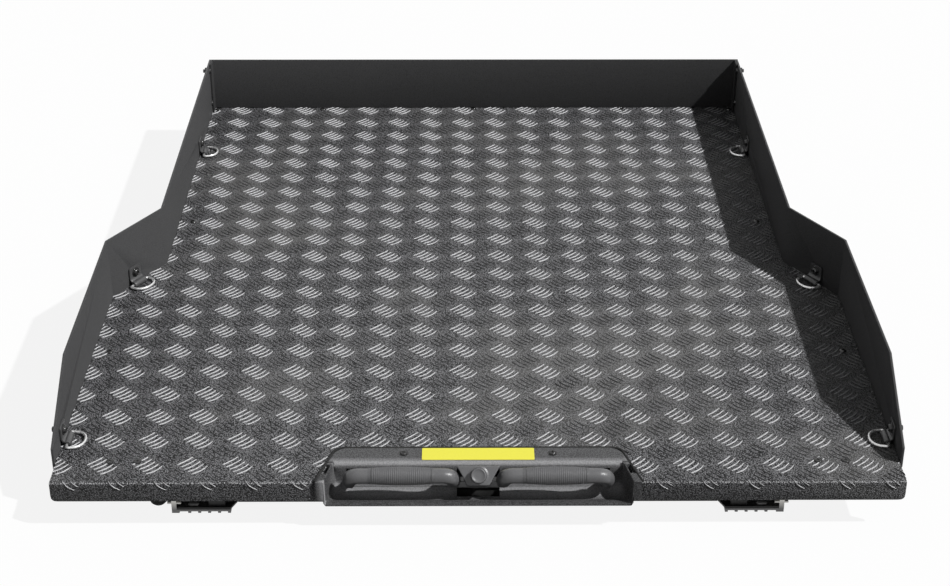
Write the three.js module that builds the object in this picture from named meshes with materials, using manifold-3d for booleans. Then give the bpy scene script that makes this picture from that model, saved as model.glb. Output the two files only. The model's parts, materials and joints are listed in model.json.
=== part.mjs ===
// Cargo slide: a checker plate tray with raised sides that rolls out of two aluminium floor rails.
// Millimetres, +Z up. The handle faces -Y. Heights are measured from the surface under the rails.
import * as THREE from 'three';
import { mergeVertices } from 'three/addons/utils/BufferGeometryUtils.js';
import Module from 'manifold-3d';

const wasm = await Module();
wasm.setup();

// Clearances and general sizes
const fit = 0.3;
const overrun = 20;
const sheet = 3;
const roundSides = 20;
const smallSides = 12;
const hexSides = 6;

// Deck: seen from above it is wide at the front and narrows behind two slanted corners
const deck = {
  frontWidth: 1100,
  rearWidth: 966,
  length: 1224,
  cornerStart: 495,
  cornerEnd: 606,
  top: 75,
  lip: 28,
  bend: 4,
  lipCorner: 8,
};
const deckUnder = deck.top - sheet;

// Raised sides and rear panel
const wall = {
  front: 42.5,
  frontHeight: 24,
  taperEnd: 165,
  height: 94.6,
  flange: 30,
  relief: 3,
  cornerFlange: 22,
  cornerGap: 35,
};
const wallBottom = deckUnder - sheet;
const wallTop = deck.top + wall.height;

// Floor rails: one extrusion each, with a toothed foot and a raceway for the rollers
const rail = {
  outer: 403.5,
  footWidth: 77.7,
  front: 40,
  rearInset: 34,
  height: 46,
  foot: 5.5,
  tooth: 2.5,
  toothWidth: 4,
  toothPitch: 13.1,
  toothCount: 5,
  heelWidth: 10,
  web: 6.5,
  topFlange: 36.5,
  topThickness: 3.5,
  ledgeHeight: 14.5,
  ledgeThickness: 2.3,
  ledgeOut: 5.3,
  ledgeIn: 6.4,
  slotLength: 15,
  slotWidth: 7,
  frontSlotInset: 28,
  slotInset: 60,
  slotEnd: 9,
  slotCount: 4,
};
const railInner = rail.outer - rail.footWidth;
const railRear = deck.length - rail.rearInset;
const railWebInner = rail.outer - rail.web;
const raceTop = rail.height - rail.topThickness;

// Rollers and their axles
const roller = {
  radius: 18,
  width: 20,
  crown: 1,
  bore: 5.3,
  side: 7.4,
  rise: 0.5,
  stand: 1,
  frontY: 95,
  rearInset: 74,
};
const axle = { radius: 5, head: 8, headLength: 4, collar: 6.6, notch: 4 };
const rollerOuter = railWebInner - roller.side;
const rollerInner = rollerOuter - roller.width;
const frontRollerZ = rail.height + roller.stand - roller.radius;
const rearRollerZ = rail.foot + roller.rise + roller.radius;
const rearRollerY = deck.length - roller.rearInset;

// Tray channels: a folded Z section that runs on the front rollers and carries the rear ones
const channel = {
  webGap: 4,
  front: 30,
  topFlange: 33,
  runEdge: 1,
  dropFront: 30,
  dropRear: 25,
  dropBottom: 12,
};
const channelRun = frontRollerZ + roller.radius + fit;
const channelWeb = rail.outer - rail.topFlange - channel.webGap;
const channelInner = channelWeb - sheet;
const channelRear = deck.length - wall.flange - fit;

// Stops, crossmembers and bearers
const travelShort = 374;
const travel = deck.length - travelShort;
const stop = { length: 14, width: 26, height: 24 };
const cross = {
  width: 46,
  rib: 12,
  thickness: 3,
  frontY: 80,
  rearInset: 184,
  shoulder: 8,
  shoulderRun: 18,
  shoulderStart: 0.5,
  rollerGap: 4,
};
const bearer = { width: 50, depth: 20, frontY: 330, rearInset: 364 };
const buffer = { outside: 10.5, y: 15, radius: 11, bottom: 34.5, nose: 4 };

// Recessed handle housing
const housing = {
  frontHalf: 210,
  rearHalf: 186,
  rear: 76,
  corner: 14,
  overhang: 3.5,
  rise: 3,
  seat: 0.2,
  wall: 3.5,
  mouthHalf: 199,
  backHalf: 188,
  cheek: 6,
  back: 38,
  floorDepth: 30.5,
  floor: 2.5,
  edgeRadius: 5,
  rootRadius: 7,
  slotSide: 1,
  slotTop: 5.5,
  slotBottom: 1,
  notchFront: 17,
  notchRear: 36,
  notchWidth: 4,
  notchWall: 1.8,
  notchDepth: 12,
};
const housingTop = deck.top + housing.rise;
const floorTop = deck.top - housing.floorDepth;
const floorBottom = floorTop - housing.floor;
const tubBack = housing.back + housing.wall;
const tubFrontHalf = housing.mouthHalf + housing.cheek;
const tubBackHalf = housing.backHalf + housing.cheek;
const label = { halfWidth: 73.5, front: 47.5, rear: 75, thickness: 0.5, corner: 1.5 };
const screw = { x: 97.5, y: 63.3, head: 4.5, headHeight: 2.4, shank: 2, length: 14 };

// Twin grip handle, its latch shaft and hooks
const grip = {
  y: 9.7,
  rise: 4,
  radius: 10.3,
  innerX: 33,
  outerX: 162.7,
  bend: 18,
  legY: 21,
  legDrop: 15,
  sleeveStart: 57,
  sleeveEnd: 142,
  core: 7.2,
  bulge: 1.4,
};
const gripZ = deck.top + grip.rise;
const shaft = { y: 76, drop: 22, radius: 6, half: 352, boss: 11 };
const shaftZ = deck.top - shaft.drop;
const arm = { width: 11, half: 5, hubWidth: 24, start: 14 };
const hook = {
  x: 349,
  width: 10,
  boss: 9,
  reach: 27,
  bottom: 15.5,
  topRise: 5,
  setback: 2.6,
  tip: 5,
  ramp: 12,
  keeperGap: 1.6,
  engage: 5,
};
const keeper = { width: 22, thickness: 4, foot: 14, footSheet: 3 };
const hub = {
  tilt: 35,
  front: 2,
  depth: 16,
  topHalf: 28,
  bottomHalf: 15,
  top: 11,
  bottom: 16,
  corner: 4,
  collar: 12.6,
  collarHeight: 2,
};
const button = { radius: 10, proud: 12, length: 17, travel: 4, chamfer: 1 };
const bracket = { x: 300, width: 24, thickness: 4, foot: 25, under: 9 };
const guard = { gap: 4, clearance: 1, flange: 20 };
const spring = { wire: 1.1, radius: 7.8, turns: 6, pitch: 2.8, segments: 10, gap: 0.5 };

// Tie-down points: bracket, bolt and D-ring, three on each side
const tiedown = {
  frontY: 96.5,
  rearInset: 205,
  slantShare: 0.4,
  width: 26,
  legHeight: 30,
  plate: 2.5,
  tabReach: 15.5,
  barReach: 8.2,
  wire: 3,
  ringHalf: 19.5,
  ringReach: 25.5,
  ringCorner: 9,
  ringLift: 0.5,
  boltZ: 20,
  boltRadius: 4,
  headRadius: 6.5,
  headHeight: 3.8,
  nutRadius: 6.5,
  nutHeight: 5.5,
  boltEnd: 8.9,
};

// Finishes
const finish = (color, roughness, metalness) => new THREE.MeshStandardMaterial({ color, roughness, metalness });
const deckFinish = finish(0x3a3a3c, 0.75, 0.1);
const panelFinish = finish(0x2c2c2e, 0.7, 0.1);
const railFinish = finish(0xc9cacb, 0.4, 0.9);
const steelFinish = finish(0x1d1d1f, 0.6, 0.4);
const zincFinish = finish(0xa8abae, 0.35, 0.9);
const chromeFinish = finish(0xd9dadc, 0.15, 1);
const plasticFinish = finish(0x2e2f31, 0.6, 0);
const gripFinish = finish(0x343536, 0.8, 0);
const rubberFinish = finish(0x141414, 0.9, 0);
const nylonFinish = finish(0x8d8f92, 0.5, 0);
const labelFinish = finish(0xf2e534, 0.5, 0);

// A closed geometry as a solid that can be joined and cut, and back again
function solidOf(geometry) {
  const bare = geometry.clone();
  bare.deleteAttribute('normal');
  bare.deleteAttribute('uv');
  const merged = mergeVertices(bare);
  return new wasm.Manifold(
    new wasm.Mesh({
      numProp: 3,
      vertProperties: Float32Array.from(merged.attributes.position.array),
      triVerts: Uint32Array.from(merged.index.array),
    }),
  );
}

function geometryOf(solid) {
  const mesh = solid.getMesh();
  const geometry = new THREE.BufferGeometry();
  geometry.setAttribute('position', new THREE.BufferAttribute(mesh.vertProperties, mesh.numProp));
  geometry.setIndex(new THREE.BufferAttribute(mesh.triVerts, 1));
  geometry.computeVertexNormals();
  return geometry;
}

const fuse = (first, ...others) => others.reduce((all, next) => all.add(next), first);
const cut = (body, ...tools) => tools.reduce((all, tool) => all.subtract(tool), body);

// A box between two limits on each axis, given in any order
function block(x, y, z) {
  const size = [x, y, z].map(([from, to]) => Math.abs(to - from));
  const middle = [x, y, z].map(([from, to]) => (from + to) / 2);
  return solidOf(new THREE.BoxGeometry(...size).translate(...middle));
}

// Turns a shape drawn in local x, y and swept along local z so that the sweep follows one axis
const axes = {
  x: [new THREE.Vector3(0, 1, 0), new THREE.Vector3(0, 0, 1), new THREE.Vector3(1, 0, 0)],
  y: [new THREE.Vector3(0, 0, 1), new THREE.Vector3(1, 0, 0), new THREE.Vector3(0, 1, 0)],
  z: [new THREE.Vector3(1, 0, 0), new THREE.Vector3(0, 1, 0), new THREE.Vector3(0, 0, 1)],
};
const turnTo = (axis) => new THREE.Matrix4().makeBasis(...axes[axis]);

// An outline whose corners are [a, b] or, rounded, [a, b, radius]
function outlineOf(corners) {
  const shape = new THREE.Shape();
  const points = corners.map(([a, b]) => new THREE.Vector2(a, b));
  corners.forEach(([, , radius = 0], i) => {
    const here = points[i];
    const before = points[(i + points.length - 1) % points.length];
    const after = points[(i + 1) % points.length];
    const enter = here.clone().add(before.clone().sub(here).setLength(radius));
    const leave = here.clone().add(after.clone().sub(here).setLength(radius));
    if (i === 0) shape.moveTo(enter.x, enter.y);
    else shape.lineTo(enter.x, enter.y);
    if (radius > 0) shape.quadraticCurveTo(here.x, here.y, leave.x, leave.y);
  });
  shape.closePath();
  return shape;
}

// Sweeps an outline along an axis: corners are (y, z) for x, (x, z) for y and (x, y) for z
function sweep(axis, corners, from, to, curveSegments = 4) {
  const drawn = axis === 'y' ? corners.map(([x, z, radius]) => [z, x, radius]) : corners;
  const depth = Math.abs(to - from);
  const geometry = new THREE.ExtrudeGeometry(outlineOf(drawn), { depth, curveSegments, bevelEnabled: false });
  geometry.translate(0, 0, Math.min(from, to));
  return solidOf(geometry.applyMatrix4(turnTo(axis)));
}

// A solid of revolution about an axis: the profile is [radius, place along the axis]
function turned(axis, profile, place, segments = roundSides) {
  const points = profile.map(([radius, along]) => new THREE.Vector2(radius, along));
  const geometry = new THREE.LatheGeometry([...points, points[0]], segments);
  geometry.rotateX(Math.PI / 2).applyMatrix4(turnTo(axis));
  return solidOf(geometry.translate(...place));
}

// A round bar or bore along an axis, through the given place
function rod(axis, radius, from, to, place, segments = roundSides) {
  const low = Math.min(from, to);
  const high = Math.max(from, to);
  const geometry = new THREE.CylinderGeometry(radius, radius, high - low, segments);
  geometry.translate(0, (low + high) / 2, 0).rotateX(Math.PI / 2).applyMatrix4(turnTo(axis));
  return solidOf(geometry.translate(...place));
}

const mirrorX = (side, corners) => corners.map(([x, other, radius]) => [side * x, other, radius]);

// The line that runs a set distance outside a path, with mitred corners
function offsetPath(path, distance) {
  const points = path.map(([x, y]) => new THREE.Vector2(x, y));
  const normals = points.slice(1).map((point, i) => {
    const along = point.clone().sub(points[i]).normalize();
    return new THREE.Vector2(along.y, -along.x);
  });
  return points.map((point, i) => {
    const first = normals[Math.max(i - 1, 0)];
    const second = normals[Math.min(i, normals.length - 1)];
    const mitre = first.clone().add(second);
    return point.clone().add(mitre.multiplyScalar(distance / (1 + first.dot(second)))).toArray();
  });
}

// Everything is placed in one group whose y starts at the deck's front edge
const slide = new THREE.Group();
function place(name, solid, material, parent = slide) {
  const mesh = new THREE.Mesh(geometryOf(solid), material);
  mesh.name = name;
  parent.add(mesh);
}
const sides = [['left', -1], ['right', 1]];

// Mounting slots run across each rail's foot, evenly spaced from end to end. Behind the front one
// they lie nearer the middle, clear of the rollers' track.
function mountingSlot(side, inset, y) {
  const half = (rail.slotLength - rail.slotWidth) / 2;
  const ends = [-half, half].map((shift) => side * (rail.outer - inset + shift));
  const top = rail.foot + overrun;
  return fuse(
    block(ends, [y - rail.slotWidth / 2, y + rail.slotWidth / 2], [-overrun, top]),
    ...ends.map((end) => rod('z', rail.slotWidth / 2, -overrun, top, [end, y, 0], smallSides)),
  );
}
const firstSlotY = rail.front + rail.slotEnd;

// Floor rails
function makeRail(side) {
  const x = (inset) => side * (rail.outer - inset);
  const section = fuse(
    block([x(0), x(rail.footWidth)], [rail.front, railRear], [rail.tooth, rail.foot]),
    block([x(0), x(rail.web)], [rail.front, railRear], [rail.tooth, rail.height]),
    block([x(0), x(rail.topFlange)], [rail.front, railRear], [raceTop, rail.height]),
    block([x(0), x(rail.heelWidth)], [rail.front, railRear], [0, rail.foot]),
    block(
      [x(-rail.ledgeOut), x(rail.web + rail.ledgeIn)],
      [rail.front, railRear],
      [rail.ledgeHeight, rail.ledgeHeight + rail.ledgeThickness],
    ),
  );
  let body = section;
  for (let i = 0; i < rail.toothCount; i += 1) {
    const start = rail.footWidth - i * rail.toothPitch;
    body = body.add(block([x(start), x(start - rail.toothWidth)], [rail.front, railRear], [0, rail.foot]));
  }
  const slotSpan = railRear - rail.front - 2 * rail.slotEnd;
  for (let i = 0; i < rail.slotCount; i += 1) {
    const inset = i === 0 ? rail.frontSlotInset : rail.slotInset;
    body = body.subtract(mountingSlot(side, inset, firstSlotY + (slotSpan * i) / (rail.slotCount - 1)));
  }
  const notchHalf = roller.radius + axle.notch;
  return cut(
    body,
    block(
      [side * railWebInner, side * (channelWeb - overrun)],
      [roller.frontY - notchHalf, roller.frontY + notchHalf],
      [raceTop - fit, rail.height + overrun],
    ),
    rod('x', axle.radius + fit, x(-overrun), x(rail.web + overrun), [0, roller.frontY, frontRollerZ]),
  );
}

// Rollers turn on axles: the front pair on the rails, the rear pair on the tray
function makeRoller(side, y, z) {
  const half = roller.width / 2;
  const profile = [
    [roller.bore, -half],
    [roller.radius - roller.crown, -half],
    [roller.radius, roller.crown - half],
    [roller.radius, half - roller.crown],
    [roller.radius - roller.crown, half],
    [roller.bore, half],
  ];
  return turned('x', profile, [side * (rollerInner + half), y, z]);
}

function makeFrontAxle(side) {
  const centre = [0, roller.frontY, frontRollerZ];
  return fuse(
    rod('x', axle.radius, side * (rail.outer + fit), side * (rollerInner - fit - axle.headLength), centre, smallSides),
    rod('x', axle.head, side * (rail.outer + fit), side * (rail.outer + fit + axle.headLength), centre, hexSides),
    rod('x', axle.collar, side * (rollerInner - fit), side * (rollerInner - fit - axle.headLength), centre, hexSides),
  );
}

function makeRearAxle(side) {
  const centre = [0, rearRollerY, rearRollerZ];
  const end = rollerOuter + fit + axle.headLength;
  return fuse(
    rod('x', axle.radius, side * (channelInner - fit), side * end, centre, smallSides),
    rod('x', axle.head, side * (channelInner - fit), side * (channelInner - fit - axle.headLength), centre, hexSides),
    rod('x', axle.collar, side * (rollerOuter + fit), side * end, centre, hexSides),
  );
}

// Tray channels
function makeChannel(side) {
  const webTo = side * channelWeb;
  const webFrom = side * channelInner;
  const runTo = side * (railWebInner - channel.runEdge);
  const y = [channel.front, channelRear];
  const drop = [rearRollerY - channel.dropFront, rearRollerY + channel.dropRear];
  const body = fuse(
    block([webFrom, webTo], y, [channelRun, deckUnder]),
    block([webFrom, runTo], y, [channelRun, channelRun + sheet]),
    block([webTo, side * (channelWeb - channel.topFlange)], y, [deckUnder - sheet, deckUnder]),
    block([webFrom, webTo], drop, [channel.dropBottom, deckUnder]),
  );
  return body.subtract(
    rod('x', axle.radius + fit, webFrom - overrun, webTo + overrun, [0, rearRollerY, rearRollerZ]),
  );
}

// Crossmembers tie the rails together: the front one reaches forward on the rail feet, and the
// rear one stops short of the raceway that the tray's rollers run in
function makeCrossmember(centreY, reachesForward) {
  const low = rail.foot;
  const half = cross.width / 2;
  const end = reachesForward ? railWebInner - fit : channelInner - cross.rollerGap;
  const corner = railInner;
  const front = centreY - half;
  const rear = centreY + half;
  const start = reachesForward ? rail.front + cross.shoulderStart : front;
  const lead = reachesForward ? corner - cross.shoulder : corner;
  const corners = [
    [end, start],
    [end, rear],
    [-end, rear],
    [-end, start],
    [-corner, start],
    [-lead, Math.max(start + cross.shoulderRun, front)],
    [-lead, front],
    [lead, front],
    [lead, Math.max(start + cross.shoulderRun, front)],
    [corner, start],
  ];
  const plain = [[end, front], [end, rear], [-end, rear], [-end, front]];
  const plate = sweep('z', reachesForward ? corners : plain, low, low + cross.thickness);
  const ribs = [front, rear - cross.thickness].map((y) =>
    block([-lead, lead], [y, y + cross.thickness], [low, low + cross.rib]),
  );
  const slots = reachesForward
    ? sides.map(([, side]) => mountingSlot(side, rail.frontSlotInset, firstSlotY))
    : [];
  return cut(fuse(plate, ...ribs), ...slots);
}

// Bearers stiffen the deck between the two channels
function makeBearer(centreY) {
  const end = channelWeb - channel.topFlange - fit;
  const half = bearer.width / 2;
  const top = deckUnder;
  const bottom = deckUnder - bearer.depth;
  return fuse(
    block([-end, end], [centreY - half, centreY + half], [top - sheet, top]),
    block([-end, end], [centreY - half, centreY - half + sheet], [bottom, top]),
    block([-end, end], [centreY + half - sheet, centreY + half], [bottom, top]),
  );
}

// Stops: the tray's drop plate meets the rear one when shut and the front one when open
function makeStop(side, y) {
  const outer = railWebInner - rail.ledgeIn - fit;
  return block([side * outer, side * (outer - stop.width)], [y, y + stop.length], [rail.foot, rail.foot + stop.height]);
}

// The housing's tub seen from above, or the deck opening that clears it by the given gap
function tubPlan(gap) {
  const front = gap > 0 ? -overrun : -housing.overhang;
  const right = [
    [tubFrontHalf + gap, front],
    [tubFrontHalf + gap, 0],
    [tubBackHalf + gap, tubBack + gap],
  ];
  return [...right, ...mirrorX(-1, right).reverse()];
}

// Deck plate with its front lip and the opening for the handle housing
function makeDeck() {
  const front = deck.frontWidth / 2;
  const rear = deck.rearWidth / 2;
  const lipBottom = deck.top - deck.lip;
  const strip = deck.bend + sheet;
  const profile = [
    [0, lipBottom],
    [0, deck.top, deck.bend],
    [strip, deck.top],
    [strip, deckUnder],
    [sheet, deckUnder],
    [sheet, lipBottom],
  ];
  const face = [
    [-front, lipBottom, deck.lipCorner],
    [front, lipBottom, deck.lipCorner],
    [front, deck.top],
    [-front, deck.top],
  ];
  const folded = sweep('x', profile, -front, front).intersect(sweep('y', face, 0, strip));
  const plan = [
    [front, strip],
    [front, deck.cornerStart],
    [rear, deck.cornerEnd],
    [rear, deck.length],
  ];
  const flat = sweep('z', [...plan, ...mirrorX(-1, plan).reverse()], deckUnder, deck.top);
  return cut(
    fuse(folded, flat),
    sweep('z', tubPlan(fit), lipBottom - overrun, deck.top + overrun),
    ...sides.map(([, side]) =>
      rod('z', screw.shank + fit, lipBottom, deck.top + overrun, [side * screw.x, screw.y, 0], smallSides),
    ),
  );
}

// Where each tie-down stands on the inner face of a side panel, and which way it faces
const slantRun = new THREE.Vector2((deck.rearWidth - deck.frontWidth) / 2, deck.cornerEnd - deck.cornerStart);
function tiedownPlaces(side) {
  const slantAngle = Math.atan2(-slantRun.x, slantRun.y);
  const slantFoot = new THREE.Vector2(deck.frontWidth / 2, deck.cornerStart).addScaledVector(slantRun, tiedown.slantShare);
  const out = new THREE.Vector2(Math.cos(slantAngle), Math.sin(slantAngle));
  slantFoot.addScaledVector(out, fit);
  return [
    { spot: 'front', x: side * (deck.frontWidth / 2 + fit), y: tiedown.frontY, turn: 0 },
    { spot: 'middle', x: side * slantFoot.x, y: slantFoot.y, turn: slantAngle },
    { spot: 'rear', x: side * (deck.rearWidth / 2 + fit), y: deck.length - tiedown.rearInset, turn: 0 },
  ];
}

// Places a solid that was drawn with local +x pointing inward from the wall's inner face
function standAt(solid, side, { x, y, turn }) {
  const angle = side > 0 ? Math.PI + turn : -turn;
  const geometry = geometryOf(solid).rotateZ(angle).translate(x, y, deck.top);
  return solidOf(geometry);
}

// Side panels: one bent sheet each, with a flange under the deck
function makeSidePanel(side) {
  const edge = [
    [deck.frontWidth / 2, wall.front],
    [deck.frontWidth / 2, deck.cornerStart],
    [deck.rearWidth / 2, deck.cornerEnd],
    [deck.rearWidth / 2, deck.length + fit + sheet],
  ];
  const inner = offsetPath(edge, fit);
  const outer = offsetPath(edge, fit + sheet);
  const tuck = offsetPath(edge, -wall.flange);
  const upright = sweep('z', mirrorX(side, [...inner, ...outer.reverse()]), wallBottom, wallTop);
  const foot = sweep('z', mirrorX(side, [...tuck, ...outer]), wallBottom, deckUnder);
  const reliefs = [deck.cornerStart, deck.cornerEnd].map((y, i) =>
    block(
      [side * edge[i + 1][0], side * (edge[i + 1][0] - wall.flange - overrun)],
      [y - wall.relief / 2, y + wall.relief / 2],
      [wallBottom - overrun, deckUnder + fit],
    ),
  );
  const slope = [
    [wall.front - overrun, deck.top + wall.frontHeight],
    [wall.front, deck.top + wall.frontHeight],
    [wall.taperEnd, wallTop],
    [wall.taperEnd, wallTop + overrun],
    [wall.front - overrun, wallTop + overrun],
  ];
  const reach = deck.frontWidth / 2 + overrun;
  const holes = tiedownPlaces(side).map((spot) =>
    standAt(rod('x', tiedown.boltRadius + fit, -overrun, sheet, [0, 0, tiedown.boltZ], smallSides), side, spot),
  );
  return cut(fuse(upright, cut(foot, ...reliefs)), sweep('x', slope, side * overrun, side * reach), ...holes);
}

// Rear panel: its ends turn forward inside the side panels
function makeRearPanel() {
  const half = deck.rearWidth / 2;
  const inner = deck.length + fit;
  const outer = inner + sheet;
  const low = deck.top + fit;
  const footHalf = half - wall.cornerGap;
  return fuse(
    block([-half, half], [inner, outer], [deckUnder + fit, wallTop]),
    block([-footHalf, footHalf], [inner, outer], [wallBottom, wallTop]),
    block([-footHalf, footHalf], [deck.length - wall.flange, outer], [wallBottom, deckUnder]),
    ...sides.map(([, side]) =>
      block([side * half, side * (half - sheet)], [deck.length - wall.cornerFlange, outer], [low, wallTop]),
    ),
  );
}

// Tie-down bracket, bolt and ring, drawn with x inward from the wall and z up from the deck
function makeTiedownBracket() {
  const half = tiedown.width / 2;
  const barTop = tiedown.ringLift + 2 * tiedown.wire + fit;
  const tabTop = barTop + tiedown.plate;
  const leg = [
    [-half, fit],
    [half, fit],
    [half, tiedown.legHeight, tiedown.plate],
    [-half, tiedown.legHeight, tiedown.plate],
  ];
  const upright = sweep('x', leg, fit, fit + tiedown.plate);
  const tab = block([fit, tiedown.tabReach], [-half, half], [barTop, tabTop]);
  const nose = block([tiedown.tabReach - tiedown.plate, tiedown.tabReach], [-half, half], [fit, tabTop]);
  const hole = rod('x', tiedown.boltRadius + fit, 0, overrun / 2, [0, 0, tiedown.boltZ], smallSides);
  return cut(fuse(upright, tab, nose), hole);
}

function makeTiedownBolt() {
  const seat = fit + tiedown.plate + fit;
  const nutSeat = -(sheet + fit);
  const head = [
    [0, seat],
    [tiedown.headRadius, seat],
    [tiedown.headRadius * Math.SQRT1_2, seat + tiedown.headHeight],
    [0, seat + tiedown.headHeight],
  ];
  const centre = [0, 0, tiedown.boltZ];
  return fuse(
    turned('x', head, centre, smallSides),
    rod('x', tiedown.boltRadius, seat + fit, -(sheet + tiedown.boltEnd), centre, smallSides),
    rod('x', tiedown.nutRadius, nutSeat, nutSeat - tiedown.nutHeight, centre, hexSides),
  );
}

// A tube round a closed flat loop of points
function loopTube(points, radius, steps) {
  const corners = [];
  points.forEach((here, i) => {
    const before = points[(i + points.length - 1) % points.length];
    const after = points[(i + 1) % points.length];
    const along = after.clone().sub(before).normalize();
    for (let k = 0; k < steps; k += 1) {
      const angle = (2 * Math.PI * k) / steps;
      const out = radius * Math.cos(angle);
      corners.push(here.x + along.y * out, here.y - along.x * out, radius * Math.sin(angle));
    }
  });
  const faces = [];
  points.forEach((here, i) => {
    const next = (i + 1) % points.length;
    for (let k = 0; k < steps; k += 1) {
      const beside = (k + 1) % steps;
      const a = i * steps + k;
      const b = next * steps + k;
      const c = next * steps + beside;
      const d = i * steps + beside;
      faces.push(a, b, c, a, c, d);
    }
  });
  const geometry = new THREE.BufferGeometry();
  geometry.setAttribute('position', new THREE.Float32BufferAttribute(corners, 3));
  geometry.setIndex(faces);
  return geometry;
}

function makeRing() {
  const half = tiedown.ringHalf;
  const start = tiedown.barReach;
  const end = start + tiedown.ringReach - tiedown.wire;
  const corner = tiedown.ringCorner;
  const shape = new THREE.Shape();
  shape.moveTo(start, -half + tiedown.wire);
  shape.quadraticCurveTo(start, -half, start + tiedown.wire, -half);
  shape.lineTo(end - 2 * corner, -half);
  shape.bezierCurveTo(end - corner / 2, -half, end, -corner, end, 0);
  shape.bezierCurveTo(end, corner, end - corner / 2, half, end - 2 * corner, half);
  shape.lineTo(start + tiedown.wire, half);
  shape.quadraticCurveTo(start, half, start, half - tiedown.wire);
  const points = shape.getPoints(5);
  const loop = loopTube(points, tiedown.wire, 8);
  return solidOf(loop.translate(0, 0, tiedown.ringLift + tiedown.wire));
}

// Handle housing: a moulded tub under a flange, open to the front
function makeHousing() {
  const flangePlan = [
    [housing.frontHalf, -housing.overhang],
    [housing.rearHalf, housing.rear, housing.corner],
    [-housing.rearHalf, housing.rear, housing.corner],
    [-housing.frontHalf, -housing.overhang],
  ];
  const seat = deck.top + housing.seat;
  const hollow = [
    [housing.mouthHalf + housing.overhang, -housing.overhang - overrun],
    [housing.mouthHalf, -housing.overhang],
    [housing.backHalf, housing.back],
    [-housing.backHalf, housing.back],
    [-housing.mouthHalf, -housing.overhang],
    [-housing.mouthHalf - housing.overhang, -housing.overhang - overrun],
  ];
  const flange = sweep('z', flangePlan, seat, housingTop);
  const tub = sweep('z', tubPlan(0), floorBottom, housingTop - housing.floor);
  const shell = cut(fuse(flange, tub), sweep('z', hollow, floorTop, housingTop + overrun));

  // The back wall leans into the flange over a rounded edge and into the floor over a hollow one
  const backTop = [
    [housing.back - fit, housingTop - housing.edgeRadius],
    [housing.back - fit, housingTop + fit, housing.edgeRadius],
    [housing.back + housing.edgeRadius, housingTop + fit],
    [housing.back + housing.edgeRadius, housingTop + overrun],
    [housing.back - housing.edgeRadius, housingTop + overrun],
    [housing.back - housing.edgeRadius, housingTop - housing.edgeRadius],
  ];
  const root = [
    [housing.back + fit, floorTop - fit],
    [housing.back + fit, floorTop + housing.rootRadius],
    [housing.back, floorTop + housing.rootRadius],
    [housing.back, floorTop, housing.rootRadius],
    [housing.back - housing.rootRadius, floorTop],
    [housing.back - housing.rootRadius, floorTop - fit],
  ];
  const apron = sides.map(([, side]) =>
    block(
      [side * (housing.mouthHalf + fit), side * housing.frontHalf],
      [-housing.overhang, -fit],
      [deck.top - deck.lip, housingTop],
    ),
  );
  const slotSpans = [
    [-grip.outerX, arm.width],
    [0, arm.hubWidth],
    [grip.outerX, arm.width],
  ];
  const slots = slotSpans.map(([x, width]) =>
    block(
      [x - width / 2 - housing.slotSide, x + width / 2 + housing.slotSide],
      [housing.back - housing.rootRadius - fit, tubBack + overrun],
      [floorTop + housing.slotBottom, deck.top - housing.slotTop],
    ),
  );
  // A narrow notch in the flange beside each cheek
  const taper = (housing.mouthHalf - housing.backHalf) / (housing.back + housing.overhang);
  const cheek = (y) => housing.mouthHalf + housing.notchWall - taper * (y + housing.overhang);
  const notchPlan = [
    [cheek(housing.notchFront), housing.notchFront],
    [cheek(housing.notchFront) + housing.notchWidth, housing.notchFront],
    [cheek(housing.notchRear) + housing.notchWidth / 2, housing.notchRear],
    [cheek(housing.notchRear), housing.notchRear],
  ];
  const notches = sides.map(([, side]) =>
    sweep('z', mirrorX(side, notchPlan), housingTop - housing.notchDepth, housingTop + overrun),
  );
  const half = housing.backHalf;
  return cut(
    fuse(shell, sweep('x', root, -half, half), ...apron),
    sweep('x', backTop, -half, half),
    ...slots,
    ...notches,
    ...sides.map(([, side]) =>
      rod('z', screw.shank + fit, deckUnder, housingTop + overrun, [side * screw.x, screw.y, 0], smallSides),
    ),
  );
}

function makeLabel() {
  const half = label.halfWidth;
  const plan = [
    [-half, label.front, label.corner],
    [half, label.front, label.corner],
    [half, label.rear, label.corner],
    [-half, label.rear, label.corner],
  ];
  return sweep('z', plan, housingTop, housingTop + label.thickness, 2);
}

function makeScrew(side) {
  const profile = [
    [0, housingTop - screw.length],
    [screw.shank, housingTop - screw.length],
    [screw.shank, housingTop],
    [screw.head, housingTop],
    [screw.head * Math.SQRT1_2, housingTop + screw.headHeight],
    [0, housingTop + screw.headHeight],
  ];
  return turned('z', profile, [side * screw.x, screw.y, 0], smallSides);
}

// Handle: two D grips joined by a tilted hub, with flat arms back to the latch shaft
function gripPath(side) {
  const bar = (x) => new THREE.Vector3(side * x, grip.y, gripZ);
  const foot = (x) => new THREE.Vector3(side * x, grip.legY, gripZ - grip.legDrop);
  const down = foot(0).sub(bar(0)).normalize();
  const below = (x) => bar(x).addScaledVector(down, grip.bend / 2);
  const path = new THREE.CurvePath();
  path.add(new THREE.LineCurve3(foot(grip.innerX), below(grip.innerX)));
  path.add(new THREE.QuadraticBezierCurve3(below(grip.innerX), bar(grip.innerX), bar(grip.innerX + grip.bend)));
  path.add(new THREE.LineCurve3(bar(grip.innerX + grip.bend), bar(grip.outerX - grip.bend)));
  path.add(new THREE.QuadraticBezierCurve3(bar(grip.outerX - grip.bend), bar(grip.outerX), below(grip.outerX)));
  path.add(new THREE.LineCurve3(below(grip.outerX), foot(grip.outerX)));
  return path;
}

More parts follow.
